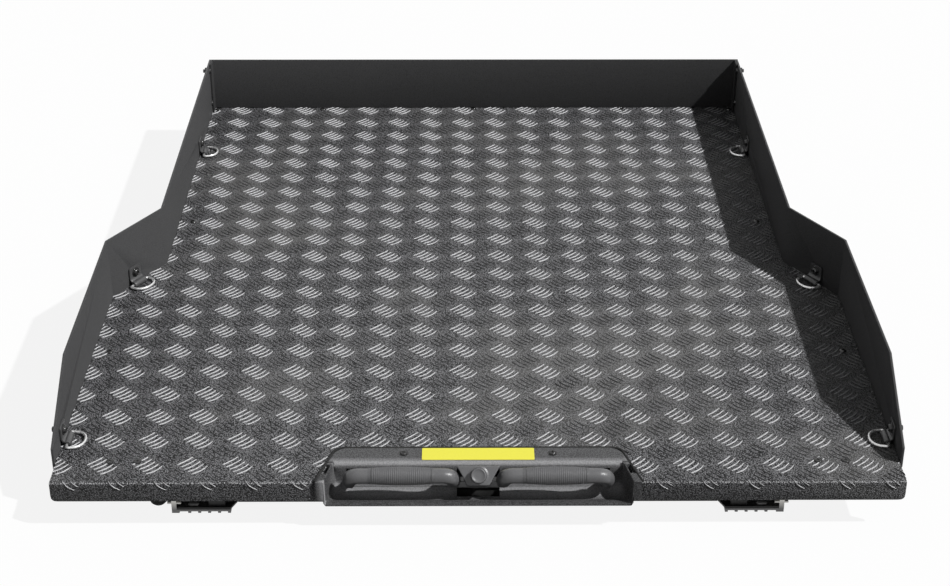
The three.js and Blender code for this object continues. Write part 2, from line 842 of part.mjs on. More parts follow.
function makeGripBar(side) {
  const section = new THREE.Shape().absarc(0, 0, grip.radius, 0, 2 * Math.PI);
  const extrudePath = gripPath(side);
  const tube = solidOf(new THREE.ExtrudeGeometry(section, { steps: 36, curveSegments: 8, extrudePath }));
  const from = side * grip.sleeveStart;
  const to = side * grip.sleeveEnd;
  const centre = [0, grip.y, gripZ];
  const waist = cut(
    rod('x', grip.radius + grip.bulge + fit, from, to, centre),
    rod('x', grip.core, from - side * overrun, to + side * overrun, centre),
  );
  return tube.subtract(waist);
}

function makeSleeve(side) {
  const half = (grip.sleeveEnd - grip.sleeveStart) / 2 - fit;
  const steps = 8;
  const outer = Array.from({ length: steps + 1 }, (_, i) => {
    const along = (2 * i) / steps - 1;
    return [grip.radius + grip.bulge * (1 - along * along), half * along];
  });
  const profile = [[grip.core + fit, -half], ...outer, [grip.core + fit, half]];
  return turned('x', profile, [(side * (grip.sleeveStart + grip.sleeveEnd)) / 2, grip.y, gripZ]);
}

function makeArm(x, width) {
  const startY = grip.legY;
  const startZ = gripZ - grip.legDrop;
  const corners = [
    [startY - arm.start / 2, startZ],
    [startY + arm.half, startZ],
    [startY + arm.start, shaftZ + arm.half],
    [shaft.y, shaftZ + arm.half],
    [shaft.y, shaftZ - arm.half],
    [startY + arm.half, shaftZ - arm.half, arm.half],
    [startY - arm.start / 2, startZ - arm.half, arm.half],
  ];
  const from = x - width / 2;
  const to = x + width / 2;
  const boss = rod('x', shaft.boss, from, to, [0, shaft.y, shaftZ]);
  return fuse(sweep('x', corners, from, to), boss);
}

// The hub is drawn upright, facing local +z, and then tilted to face the person pulling
const hubTilt = THREE.MathUtils.degToRad(hub.tilt);
function faceFront(solid) {
  const geometry = geometryOf(solid).rotateX(Math.PI / 2 - hubTilt).translate(0, grip.y, gripZ);
  return solidOf(geometry);
}

function makeHub() {
  const plan = [
    [-hub.bottomHalf, -hub.bottom, hub.corner],
    [hub.bottomHalf, -hub.bottom, hub.corner],
    [hub.topHalf, hub.top, hub.corner],
    [-hub.topHalf, hub.top, hub.corner],
  ];
  const back = hub.front - hub.depth;
  const plate = sweep('z', plan, back, hub.front);
  return faceFront(fuse(plate, rod('z', hub.collar, back, hub.front + hub.collarHeight, [0, 0, 0])));
}

function makeButtonBore() {
  const bottom = button.proud - button.length - button.travel - fit;
  return faceFront(rod('z', button.radius + fit, bottom, button.proud + overrun, [0, 0, 0]));
}

function makeButton() {
  const back = button.proud - button.length;
  const profile = [
    [0, back],
    [button.radius, back],
    [button.radius, button.proud - button.chamfer],
    [button.radius - button.chamfer, button.proud],
    [0, button.proud],
  ];
  return faceFront(turned('z', profile, [0, 0, 0]));
}

function makeHandle() {
  const solids = [
    ...sides.map(([, side]) => makeGripBar(side)),
    ...sides.map(([, side]) => makeArm(side * grip.outerX, arm.width)),
    makeArm(0, arm.hubWidth),
    makeHub(),
  ];
  const bridge = block(
    [-grip.innerX, grip.innerX],
    [grip.legY - arm.start / 2, grip.legY + arm.half],
    [gripZ - grip.legDrop - arm.half, gripZ - grip.legDrop + arm.half],
  );
  const bore = rod('x', shaft.radius + fit, -shaft.half, shaft.half, [0, shaft.y, shaftZ]);
  return cut(fuse(...solids, bridge), bore, makeButtonBore());
}

// Latch shaft, its hooks and the keepers that the hooks hold
const hookFront = shaft.y - hook.reach;
function makeHook(side) {
  const to = side * hook.x;
  const from = side * (hook.x - hook.width);
  const low = shaftZ - hook.bottom;
  const tipFront = hookFront + hook.setback;
  const tipRear = tipFront + hook.tip;
  const corners = [
    [shaft.y, shaftZ + hook.topRise],
    [hookFront + hook.topRise, shaftZ + hook.topRise],
    [hookFront, shaftZ],
    [hookFront, shaftZ - hook.topRise],
    [tipFront, low],
    [tipRear, low],
    [tipRear + hook.ramp, shaftZ - hook.topRise],
    [shaft.y, shaftZ - hook.topRise],
  ];
  const boss = rod('x', hook.boss, from, to, [0, shaft.y, shaftZ]);
  const bore = rod('x', shaft.radius + fit, from - overrun, to + overrun, [0, shaft.y, shaftZ]);
  return cut(fuse(sweep('x', corners, from, to), boss), bore);
}

function makeKeeper(side) {
  const middle = hook.x - hook.width / 2;
  const x = [side * (middle - keeper.width / 2), side * (middle + keeper.width / 2)];
  const rear = hookFront - hook.keeperGap;
  const low = rail.foot + cross.thickness;
  const top = shaftZ - hook.bottom + hook.engage;
  return fuse(
    block(x, [rear - keeper.thickness, rear], [low, top]),
    block(x, [rear - keeper.thickness, rear + keeper.foot], [low, low + keeper.footSheet]),
  );
}

// Hangers carry the latch shaft under the deck
function makeHanger(side) {
  const from = side * bracket.x;
  const to = side * (bracket.x - bracket.thickness);
  const y = [shaft.y - bracket.width / 2, shaft.y + bracket.width / 2];
  const bottom = shaftZ - bracket.under;
  return cut(
    fuse(
      block([from, to], y, [bottom, deckUnder]),
      block([from, side * (bracket.x - bracket.foot)], y, [deckUnder - sheet, deckUnder]),
    ),
    rod('x', shaft.radius + fit, from - overrun, to + overrun, [0, shaft.y, shaftZ]),
  );
}

// Guard that closes the latch space below and behind the shaft
function makeGuard() {
  const half = housing.rearHalf;
  const back = shaft.y + shaft.boss + guard.gap;
  const low = shaftZ - shaft.boss - guard.clearance - sheet;
  return fuse(
    block([-half, half], [tubBack + fit, back], [low, low + sheet]),
    block([-half, half], [back, back + sheet], [low, deckUnder]),
    block([-half, half], [back, back + guard.flange], [deckUnder - sheet, deckUnder]),
  );
}

// Torsion spring round the shaft beside the left hanger
function makeSpring() {
  const start = -(bracket.x - bracket.thickness) + spring.gap + spring.wire;
  class Coil extends THREE.Curve {
    getPoint(t) {
      const angle = 2 * Math.PI * spring.turns * t;
      const x = start + spring.pitch * spring.turns * t;
      const y = shaft.y + spring.radius * Math.cos(angle);
      return new THREE.Vector3(x, y, shaftZ + spring.radius * Math.sin(angle));
    }
  }
  const section = new THREE.Shape().absarc(0, 0, spring.wire, 0, 2 * Math.PI);
  const steps = spring.turns * spring.segments;
  return solidOf(new THREE.ExtrudeGeometry(section, { steps, curveSegments: 3, extrudePath: new Coil() }));
}

function makeBuffer() {
  const profile = [
    [0, buffer.bottom],
    [buffer.radius - buffer.nose, buffer.bottom],
    [buffer.radius, buffer.bottom + buffer.nose],
    [buffer.radius, deckUnder],
    [0, deckUnder],
  ];
  return turned('z', profile, [-(rail.outer + buffer.outside), buffer.y, 0]);
}

// Base
for (const [name, side] of sides) {
  place(`${name}_rail`, makeRail(side), railFinish);
  place(`${name}_front_axle`, makeFrontAxle(side), zincFinish);
  place(`${name}_front_roller`, makeRoller(side, roller.frontY, frontRollerZ), nylonFinish);
  place(`${name}_keeper`, makeKeeper(side), steelFinish);
  place(`${name}_closed_stop`, makeStop(side, rearRollerY + channel.dropRear + fit), rubberFinish);
  place(
    `${name}_open_stop`,
    makeStop(side, rearRollerY - channel.dropFront - travel - fit - stop.length),
    rubberFinish,
  );
}
place('front_crossmember', makeCrossmember(cross.frontY, true), steelFinish);
place('rear_crossmember', makeCrossmember(deck.length - cross.rearInset, false), steelFinish);

// Tray
place('deck_plate', makeDeck(), deckFinish);
place('rear_panel', makeRearPanel(), panelFinish);
place('front_bearer', makeBearer(bearer.frontY), steelFinish);
place('rear_bearer', makeBearer(deck.length - bearer.rearInset), steelFinish);
place('front_buffer', makeBuffer(), rubberFinish);
for (const [name, side] of sides) {
  place(`${name}_side_panel`, makeSidePanel(side), panelFinish);
  place(`${name}_channel`, makeChannel(side), steelFinish);
  place(`${name}_rear_axle`, makeRearAxle(side), zincFinish);
  place(`${name}_rear_roller`, makeRoller(side, rearRollerY, rearRollerZ), nylonFinish);
  for (const spot of tiedownPlaces(side)) {
    const own = `${name}_${spot.spot}`;
    place(`${own}_tiedown_bracket`, standAt(makeTiedownBracket(), side, spot), steelFinish);
    place(`${own}_tiedown_bolt`, standAt(makeTiedownBolt(), side, spot), zincFinish);
    place(`${own}_tiedown_ring`, standAt(makeRing(), side, spot), chromeFinish);
  }
}

// Handle and latch
place('handle_housing', makeHousing(), plasticFinish);
place('label_plate', makeLabel(), labelFinish);
place('handle_frame', makeHandle(), plasticFinish);
place('lock_button', makeButton(), plasticFinish);
place('latch_shaft', rod('x', shaft.radius, -shaft.half, shaft.half, [0, shaft.y, shaftZ], smallSides), zincFinish);
place('return_spring', makeSpring(), zincFinish);
place('latch_guard', makeGuard(), steelFinish);
for (const [name, side] of sides) {
  place(`${name}_housing_screw`, makeScrew(side), zincFinish);
  place(`${name}_grip_sleeve`, makeSleeve(side), gripFinish);
  place(`${name}_latch_hook`, makeHook(side), steelFinish);
  place(`${name}_shaft_hanger`, makeHanger(side), steelFinish);
}

// The origin lies on the surface under the rails, below the middle of the slide
const middle = new THREE.Box3().setFromObject(slide).getCenter(new THREE.Vector3());
slide.position.y = -middle.y;

const group = new THREE.Group();
group.add(slide);
export default group;
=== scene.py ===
import json
from math import copysign, cos, pi, radians, sin, sqrt
import bmesh
import bpy
from mathutils import Matrix, Vector


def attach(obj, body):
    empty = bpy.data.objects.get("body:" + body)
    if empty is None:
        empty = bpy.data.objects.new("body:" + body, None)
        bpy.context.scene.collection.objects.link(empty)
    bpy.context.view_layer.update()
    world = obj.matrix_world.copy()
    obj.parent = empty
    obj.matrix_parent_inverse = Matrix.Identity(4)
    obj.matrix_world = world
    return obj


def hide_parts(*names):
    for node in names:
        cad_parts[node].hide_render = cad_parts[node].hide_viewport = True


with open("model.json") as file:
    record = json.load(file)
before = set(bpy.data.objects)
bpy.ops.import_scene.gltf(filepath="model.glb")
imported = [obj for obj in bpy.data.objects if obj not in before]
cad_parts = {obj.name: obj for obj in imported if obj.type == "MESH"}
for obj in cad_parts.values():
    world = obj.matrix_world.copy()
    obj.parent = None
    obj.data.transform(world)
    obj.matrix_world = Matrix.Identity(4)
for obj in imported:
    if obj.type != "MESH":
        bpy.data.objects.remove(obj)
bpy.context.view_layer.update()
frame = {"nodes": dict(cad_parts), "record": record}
nodes = frame["nodes"]
scene = bpy.context.scene
scene.view_settings.view_transform = "Standard"
mm = 0.001
deckTop, deckFront = 75.0, -611.0  # upper face of the deck and front of its lip, in mm
hands = {"left": -1, "right": 1}
groups = frame["record"]["behaviour"]["bodies"]
bodyOf = {node: body for body, members in groups.items() for node in members}
slotOf = {row["node"]: row["material_slot"] for row in frame["record"]["subparts"]}
print("frame:", len(nodes), "solids")


def linkNew(name, data):
    item = bpy.data.objects.new(name, data)
    scene.collection.objects.link(item)
    return item


# node helpers
def feed(tree, socket, value):
    if isinstance(value, bpy.types.NodeSocket):
        tree.links.new(value, socket)
    else:
        socket.default_value = value


def put(tree, kind, values=None, **settings):
    node = tree.nodes.new(kind)
    for key, value in settings.items():
        setattr(node, key, value)
    for key, value in (values or {}).items():
        feed(tree, node.inputs[key], value)
    return node


def out(tree, kind, values=None, **settings):
    return put(tree, kind, values, **settings).outputs[0]


def calc(tree, operation, *values):
    return out(tree, "ShaderNodeMath", dict(enumerate(values)), operation=operation)


def times(tree, first, second):
    return calc(tree, "MULTIPLY", first, second)


def minus(tree, first, second):
    return calc(tree, "SUBTRACT", first, second)


def spread(tree, value, low, high, start=0.0, end=1.0):
    limits = {"From Min": start, "From Max": end, "To Min": low, "To Max": high}
    return out(tree, "ShaderNodeMapRange", {"Value": value, **limits})


def seenDirectly(tree):
    path = put(tree, "ShaderNodeLightPath").outputs
    gloss = calc(tree, "MAXIMUM", path["Is Camera Ray"], path["Is Glossy Ray"])
    return calc(tree, "MAXIMUM", gloss, path["Is Transmission Ray"])


def emptyMaterial(name):
    material = bpy.data.materials.new(name)
    material.use_nodes = True
    material.node_tree.nodes.clear()
    return material


# camera, light, floor
view = {"place": (-0.01782, -2.5611, 1.42154), "focal": 69.74, "sensor": 36, "far": 60,
        "turn": -0.0066324, "tip": 1.069207, "roll": 0.0017395}
light = {"sunAlong": (-0.609, 0.289, -0.739), "sun": 3.6, "sunSize": 1.4, "skyLow": 0.045, "skyHigh": 0.16}
floorLook = {"colour": 0.92, "bounce": 0.07, "half": 9, "white": 0.88, "below": 0.4}
white = (1, 1, 1, 1)

cameraData = bpy.data.cameras.new("camera")
cameraData.lens = view["focal"]
cameraData.sensor_width = view["sensor"]
cameraData.clip_end = view["far"]
camera = linkNew("camera", cameraData)
camera.matrix_world = (
    Matrix.Translation(view["place"])
    @ Matrix.Rotation(view["turn"], 4, "Z")
    @ Matrix.Rotation(view["tip"], 4, "X")
    @ Matrix.Rotation(view["roll"], 4, "Z")
)
scene.camera = camera

sunData = bpy.data.lights.new("sun", "SUN")
sunData.energy = light["sun"]
sunData.angle = radians(light["sunSize"])
sun = linkNew("sun", sunData)
sun.rotation_euler = Vector(light["sunAlong"]).to_track_quat("-Z", "Y").to_euler()
sun.location = (1.5, -0.7, 2.0)

world = bpy.data.worlds.new("white")
world.use_nodes = True
scene.world = world
sky = world.node_tree
sky.nodes.clear()
upward = put(sky, "ShaderNodeSeparateXYZ", {0: put(sky, "ShaderNodeTexCoord").outputs["Generated"]}).outputs["Z"]
skyGlow = spread(sky, upward, light["skyLow"], light["skyHigh"])
ambient = out(sky, "ShaderNodeBackground", {"Color": white, "Strength": skyGlow})
backdrop = out(sky, "ShaderNodeBackground", {"Color": white, "Strength": 1.0})
skyMix = out(sky, "ShaderNodeMixShader", {0: seenDirectly(sky), 1: ambient, 2: backdrop})
put(sky, "ShaderNodeOutputWorld", {"Surface": skyMix})

floorMesh = bpy.data.meshes.new("floor")
far, level = floorLook["half"], -floorLook["below"] * mm
floorCorners = [(-far, -far, level), (far, -far, level), (far, far, level), (-far, far, level)]
floorMesh.from_pydata(floorCorners, [], [(0, 1, 2, 3)])
floor = linkNew("floor", floorMesh)
floorMaterial = emptyMaterial("floor white")
ground = floorMaterial.node_tree
inView = seenDirectly(ground)
tone = spread(ground, inView, floorLook["bounce"], floorLook["colour"])
matte = out(ground, "ShaderNodeBsdfDiffuse", {"Color": tone})
glow = out(ground, "ShaderNodeEmission", {"Color": white, "Strength": 1.0})
share = times(ground, inView, floorLook["white"])
groundMix = out(ground, "ShaderNodeMixShader", {0: share, 1: matte, 2: glow})
put(ground, "ShaderNodeOutputMaterial", {"Surface": groundMix})
floorMesh.materials.append(floorMaterial)
print("camera, light and floor ready")


# node groups, an input's kind and first value come from the value given
def newGroup(name, kind, inputs, outputs):
    group = bpy.data.node_groups.new(name, kind)
    sockets = {}
    for way, rows in (("INPUT", inputs), ("OUTPUT", outputs)):
        for label, value in rows.items():
            word = value if isinstance(value, str) else type(value).__name__.capitalize()
            socket = group.interface.new_socket(name=label, in_out=way, socket_type="NodeSocket" + word)
            if word in ("Float", "Int"):
                socket.default_value = value
            sockets[label] = socket.identifier
    return group, put(group, "NodeGroupInput").outputs, put(group, "NodeGroupOutput").inputs, sockets


def shaderGroup(name, inputs, *outputs):
    return newGroup(name, "ShaderNodeTree", {"Vector": "Vector", **inputs}, dict.fromkeys(outputs, 0.0))[:3]


def buildCoatGrain():
    group, given, result = shaderGroup("coat grain", {"Scale": 400.0, "Contrast": 1.0}, "Shade", "Height")
    place = {"Vector": given["Vector"], "Scale": given["Scale"]}
    lumps = out(group, "ShaderNodeTexNoise", {**place, "Detail": 2.0, "Roughness": 0.6})
    pebbles = put(group, "ShaderNodeTexVoronoi", place, feature="F1").outputs["Distance"]
    relief = minus(group, lumps, pebbles)
    centred = calc(group, "MULTIPLY_ADD", relief, given["Contrast"], 0.5)
    feed(group, result["Shade"], out(group, "ShaderNodeClamp", {0: centred}))
    feed(group, result["Height"], relief)
    return group


def buildPatches():
    group, given, result = shaderGroup("patches", {"Scale": 8.0, "Amount": 0.5, "Sharpness": 4.0}, "Mask")
    blot = out(group, "ShaderNodeTexNoise", {
        "Vector": given["Vector"], "Scale": given["Scale"], "Detail": 5.0, "Roughness": 0.62, "Distortion": 0.4})
    over = minus(group, blot, minus(group, 1.0, given["Amount"]))
    sharp = times(group, over, given["Sharpness"])
    feed(group, result["Mask"], out(group, "ShaderNodeClamp", {0: sharp}))
    return group


def buildDrawnLines():
    group, given, result = shaderGroup("drawn lines", {"Across": 900.0, "Along": 6.0}, "Lines")
    parts = put(group, "ShaderNodeSeparateXYZ", {0: given["Vector"]}).outputs
    labels = enumerate(("Across", "Along", "Across"))
    stretched = {axis: times(group, parts[axis], given[label]) for axis, label in labels}
    joined = out(group, "ShaderNodeCombineXYZ", stretched)
    streaks = out(group, "ShaderNodeTexNoise", {"Vector": joined, "Scale": 1.0, "Detail": 3.0, "Roughness": 0.7})
    feed(group, result["Lines"], streaks)
    return group


coatGrain = buildCoatGrain()
patches = buildPatches()
drawnLines = buildDrawnLines()

# finishes
# how a face lies, from its normal: upright below the first z, level above the second, the lip's bend in between
lies = {"upright": 0.2, "level": 0.9, "bend": 0.72, "bendSpread": 0.2, "ahead": -0.3}
# edges of the patches and how much of them shows; the rails' darkening starts 5 mm above the floor
marks = {"dustEdge": 2, "chipEdge": 14, "stainEdge": 3, "stainShare": 0.35, "grimeFrom": 5, "grimeShare": 0.96, "dirt": 0.6}
neutral = (1, 1, 1.02)
dustTint = (1, 0.99, 0.96)


def shade(value, tint=neutral):
    return (value * tint[0], value * tint[1], value * tint[2], 1)


def blendColour(tree, factor, low, high):
    return put(tree, "ShaderNodeMix", {0: factor, 6: low, 7: high}, data_type="RGBA").outputs[2]


def patchMask(tree, where, amount, scale, edge):
    values = {"Vector": where, "Scale": scale, "Amount": amount, "Sharpness": edge}
    return out(tree, "ShaderNodeGroup", values, node_tree=patches)


def toneOf(tree, factor, look):
    dark, bright = look["tone"]
    tint = look.get("tint", neutral)
    return blendColour(tree, factor, shade(dark, tint), shade(bright, tint))


def makeMaterial(name, look, build):
    # build gives the colour, gloss and height sockets
    material = emptyMaterial(name)
    tree = material.node_tree
    colour, gloss, height = build(tree, put(tree, "ShaderNodeTexCoord").outputs["Object"], look)
    strength, depth = look["relief"]
    relief = out(tree, "ShaderNodeBump", {"Strength": strength, "Distance": depth * mm, "Height": height})
    shader = out(tree, "ShaderNodeBsdfPrincipled", {
        "Base Color": colour, "Roughness": gloss, "Normal": relief, "Metallic": look.get("metal", 0.0),
        "Specular IOR Level": look.get("specular", 0.5)})
    put(tree, "ShaderNodeOutputMaterial", {"Surface": shader})
    return material


def coatFinish(tree, where, look):
    # textured paint: grain in colour, gloss and relief, dust in patches, bare spots where the paint is chipped, and
    # painted highlight and painted shade where a look or a piece asks for them
    grainScale, contrast = look["grain"]
    dustAmount, dustScale, dustShare, dustColour = look["dust"]
    chipAmount, chipScale, bare = look["chips"]
    values = {"Vector": where, "Scale": grainScale, "Contrast": contrast}
    grain = put(tree, "ShaderNodeGroup", values, node_tree=coatGrain).outputs
    dust = patchMask(tree, where, dustAmount, dustScale, look.get("dustEdge", marks["dustEdge"]))
    chips = patchMask(tree, where, chipAmount, chipScale, marks["chipEdge"])
    coat = toneOf(tree, grain["Shade"], look)
    coat = blendColour(tree, times(tree, dust, dustShare), coat, shade(dustColour, dustTint))
    coat = blendColour(tree, chips, coat, shade(bare))
    if "worn" in look:
        # where a piece marks places to paint lighter: painted highlights, rubbed wear and dust
        worn = put(tree, "ShaderNodeAttribute", attribute_name="worn").outputs["Fac"]
        broken = times(tree, worn, spread(tree, grain["Shade"], 0.75, 1.0))
        coat = blendColour(tree, broken, coat, shade(look["worn"]))
    if "settled" in look:
        # painted shade: upright faces are painted darker than level ones
        facing = put(tree, "ShaderNodeSeparateXYZ", {0: put(tree, "ShaderNodeTexCoord").outputs["Normal"]}).outputs
        upright = spread(tree, facing["Z"], 1.0 - look["settled"], 0.0, lies["upright"], lies["level"])
        coat = blendColour(tree, upright, coat, shade(0.0))
        if "rubbedBend" in look:
            # painted highlight on the rounded front edge where it faces the light, with rubbed wear, broken up by the
            # grain
            away = calc(tree, "COMPARE", facing["Z"], lies["bend"], lies["bendSpread"])
            bend = times(tree, away, calc(tree, "LESS_THAN", facing["Y"], lies["ahead"]))
            bendGlintMask = times(tree, bend, spread(tree, grain["Shade"], 0.1, look["rubbedBend"]))
            coat = blendColour(tree, bendGlintMask, coat, shade(bare))
    glossy, dull = look["rough"]
    return coat, spread(tree, grain["Shade"], dull, glossy), grain["Height"]


def metalFinish(tree, where, look):
    # bare or plated metal: drawn or rolled lines, stains in patches
    across, along = look["lines"]
    lines = out(tree, "ShaderNodeGroup", {"Vector": where, "Across": across, "Along": along}, node_tree=drawnLines)
    dull = times(tree, patchMask(tree, where, *look["stain"], marks["stainEdge"]), marks["stainShare"])
    if "grime" in look:
        # darker towards the floor, fading out with height
        rise = put(tree, "ShaderNodeSeparateXYZ", {0: where}).outputs["Z"]
        grime = spread(tree, rise, marks["grimeShare"], 0.0, marks["grimeFrom"] * mm, look["grime"] * mm)
        dull = calc(tree, "MAXIMUM", dull, grime)
    dirt = shade(look["tone"][0] * look.get("dirt", marks["dirt"]))
    colour = blendColour(tree, dull, toneOf(tree, lines, look), dirt)
    return colour, spread(tree, calc(tree, "ADD", lines, dull), *look["rough"]), lines


# grain: scale, contrast; tone: dark, light; dust: amount, scale, share, colour; chips: amount, scale, colour;
# rough: shiny, dull; relief: strength, depth in mm
coatLooks = {
    "deck_coat": {"grain": (520, 4.2), "tone": (0.014, 0.235), "tint": (1, 1, 1.04), "dust": (0.52, 2.4, 0.4, 0.2),
        "chips": (0.2, 160, 0.5), "rough": (0.3, 0.5), "relief": (1, 2), "specular": 0.2,
        "dustEdge": 7, "settled": 0.66, "rubbedBend": 0.8},
    # the tread bars take copies of the deck coat: the cross bars a darker one as painted shade, the near bars a lighter
    # one as painted highlight
    "pressed_coat": {"grain": (700, 2), "tone": (0.045, 0.165), "tint": (1, 1, 1.03), "dust": (0.5, 5, 0.15, 0.12),
        "chips": (0.2, 200, 0.4), "rough": (0.3, 0.42), "relief": (0.3, 0.4), "worn": 0.6, "settled": 0.3},
    "rubbed_coat": {"grain": (650, 1.6), "tone": (0.42, 0.76), "dust": (0.5, 5, 0.2, 0.3),
        "chips": (0.25, 220, 0.6), "rough": (0.42, 0.55), "relief": (0.2, 0.3)},
    "sleeve_rubber": {"grain": (1200, 1), "tone": (0.1, 0.15), "tint": (1, 1, 1.03), "dust": (0.5, 25, 0.2, 0.22),
        "chips": (0.1, 60, 0.2), "rough": (0.5, 0.62), "relief": (0.3, 0.15), "specular": 0.35},
    "panel_coat": {"grain": (900, 1), "tone": (0.048, 0.085), "dust": (0.5, 9, 0.15, 0.12),
        "chips": (0.16, 90, 0.3), "rough": (0.5, 0.65), "relief": (0.35, 0.3), "specular": 0.12},
    # painted shade: a darker copy of the panel coat, for the rear panel
    "rear_coat": {"grain": (900, 1), "tone": (0.034, 0.062), "dust": (0.5, 9, 0.1, 0.1),
        "chips": (0.16, 90, 0.25), "rough": (0.5, 0.65), "relief": (0.35, 0.3), "specular": 0.12},
    "bracket_coat": {"grain": (800, 1), "tone": (0.05, 0.09), "dust": (0.5, 20, 0.2, 0.12),
        "chips": (0.2, 120, 0.4), "rough": (0.26, 0.38), "relief": (0.3, 0.2)},
    "screw_black": {"grain": (900, 0.8), "tone": (0.014, 0.032), "tint": (1, 1, 1), "dust": (0.4, 60, 0.15, 0.1),
        "chips": (0.15, 300, 0.4), "rough": (0.16, 0.24), "relief": (0.1, 0.05)},
    "black_steel": {"grain": (800, 0.8), "tone": (0.012, 0.03), "tint": (1, 1, 1), "dust": (0.5, 20, 0.2, 0.1),
        "chips": (0.2, 120, 0.35), "rough": (0.35, 0.5), "relief": (0.3, 0.2), "specular": 0.35},
    "housing_plastic": {"grain": (620, 3.2), "tone": (0.03, 0.095), "tint": (1, 1, 1.03), "dust": (0.5, 14, 0.25, 0.2),
        "chips": (0.14, 60, 0.2), "rough": (0.45, 0.6), "relief": (0.3, 0.2), "specular": 0.2,
        "worn": 0.34},
    "grip_plastic": {"grain": (1200, 1), "tone": (0.1, 0.15), "tint": (1, 1, 1.03), "dust": (0.5, 25, 0.2, 0.22),
        "chips": (0.1, 60, 0.2), "rough": (0.3, 0.4), "relief": (0.15, 0.1)},
    "rubber": {"grain": (700, 1), "tone": (0.012, 0.028), "tint": (1, 1, 1), "dust": (0.6, 30, 0.3, 0.1),
        "chips": (0.05, 60, 0.1), "rough": (0.7, 0.85), "relief": (0.4, 0.3), "specular": 0.2},
    "roller_nylon": {"grain": (500, 0.6), "tone": (0.28, 0.38), "dust": (0.5, 40, 0.4, 0.12),
        "chips": (0.1, 90, 0.1), "rough": (0.35, 0.5), "relief": (0.2, 0.2), "specular": 0.4},
    "label_yellow": {"grain": (300, 0.4), "tone": (0.86, 0.92), "tint": (1, 0.94, 0.08), "dust": (0.4, 30, 0.1, 0.6),
        "chips": (0.1, 300, 0.7), "rough": (0.3, 0.4), "relief": (0.1, 0.1), "specular": 0.4},
}
# lines: across, along; stain: amount, scale
metalLooks = {
    "rail_aluminium": {"lines": (2200, 9), "tone": (0.72, 0.86), "tint": (1, 0.98, 0.93), "metal": 0.9,
        "stain": (0.5, 12), "rough": (0.3, 0.5), "relief": (0.2, 0.1), "grime": 27, "dirt": 0.16},
    "zinc_steel": {"lines": (900, 400), "tone": (0.4, 0.62), "metal": 0.95,
        "stain": (0.5, 60), "rough": (0.28, 0.45), "relief": (0.15, 0.05)},
    "chrome": {"lines": (300, 300), "tone": (0.7, 0.84), "tint": (1, 1, 1), "metal": 0.68,
        "stain": (0.45, 80), "rough": (0.2, 0.36), "relief": (0.05, 0.03)},
}
finishes = {}
for rows, build in ((coatLooks, coatFinish), (metalLooks, metalFinish)):
    for name, look in rows.items():
        finishes[name] = makeMaterial(name.replace("_", " "), look, build)
print("finishes:", len(finishes))


# making pieces
def shapeFrom(mesh):
    shape = bmesh.new()
    shape.from_mesh(mesh)
    return shape


def storeShape(shape, mesh):
    shape.to_mesh(mesh)
    shape.free()


def modify(piece, kind, **settings):
    modifier = piece.modifiers.new(kind.lower(), kind)
    for key, value in settings.items():
        setattr(modifier, key, value)


def plainCopy(piece, name):
    bpy.context.view_layer.update()
    whole = bpy.context.evaluated_depsgraph_get()
    mesh = bpy.data.meshes.new_from_object(piece.evaluated_get(whole))
    mesh.name = name
    bpy.data.objects.remove(piece)
    return linkNew(name, mesh)


def smoothShade(mesh, angle=40):
    mesh.shade_smooth()
    mesh.set_sharp_from_angle(angle=radians(angle))


def finishPiece(piece, body, replaced=(), angle=None):
    if angle:
        smoothShade(piece.data, angle)
        print(piece.name, len(piece.data.polygons), "faces")
    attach(piece, body)
    if replaced:
        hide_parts(*replaced)


# widths of the broken edges in mm, by the nodes' names; the first that fits counts
edges = {"deck_plate": 0.5, "rear_panel": 0.6, "side_panel": 0.6, "rail": 0.35, "channel": 0.6, "crossmember": 0.5,
         "bearer": 0.8, "keeper": 0.5, "hanger": 0.5, "guard": 0.5, "hook": 0.7, "stop": 1,
         "axle": 0.6, "latch_shaft": 0.5, "buffer": 0.8}
# the rear panel takes the darker copy of the panel coat, a painted shade
otherFinish = {"rear_panel": "rear_coat", "left_keeper": "black_steel", "right_keeper": "black_steel"}
opening = {"half": 0.197, "rearFrom": -0.571, "rearTo": -0.568, "back": 0.009}  # metres


def finishOf(node):
    return finishes[otherFinish.get(node, slotOf[node])]


def openDeck(shape):
    # the opening's rear edge keeps clear of the tub's rounded brow
    for vertex in shape.verts:
        if abs(vertex.co.x) < opening["half"] and opening["rearFrom"] < vertex.co.y < opening["rearTo"]:
            vertex.co.y += opening["back"]


def mergeClose(shape):
    bmesh.ops.remove_doubles(shape, verts=shape.verts, dist=0.01 * mm)


def softEdged(node, width):
    # a copy of a solid with its corners broken, so that its edges catch the light
    mesh = bpy.data.meshes.new(node)
    shape = shapeFrom(nodes[node].data)
    mergeClose(shape)
    bmesh.ops.dissolve_limit(shape, angle_limit=radians(0.5), verts=shape.verts, edges=shape.edges)
    if node == "deck_plate":
        openDeck(shape)
    storeShape(shape, mesh)
    mesh.materials.append(finishOf(node))
    piece = linkNew(node + "_soft", mesh)
    modify(piece, "BEVEL", width=width * mm, segments=2, limit_method="ANGLE", angle_limit=radians(38),
           use_clamp_overlap=True)
    piece = plainCopy(piece, node + "_dressed")
    smoothShade(piece.data)
    finishPiece(piece, bodyOf[node], [node])


for node in sorted(nodes):
    nodes[node].data.materials.clear()
    nodes[node].data.materials.append(finishOf(node))
    widths = [width for key, width in edges.items() if key in node]
    if widths:
        softEdged(node, widths[0])
print("edges broken on the solids")


def pieceOf(name, shape, finish, angle=40):
    # a shape drawn in millimetres becomes a piece in metres
    bmesh.ops.remove_doubles(shape, verts=shape.verts, dist=0.001)
    bmesh.ops.recalc_face_normals(shape, faces=shape.faces)
    bmesh.ops.scale(shape, vec=(mm, mm, mm), verts=shape.verts)
    mesh = bpy.data.meshes.new(name)
    storeShape(shape, mesh)
    mesh.materials.append(finish)
    smoothShade(mesh, angle)
    return linkNew(name, mesh)


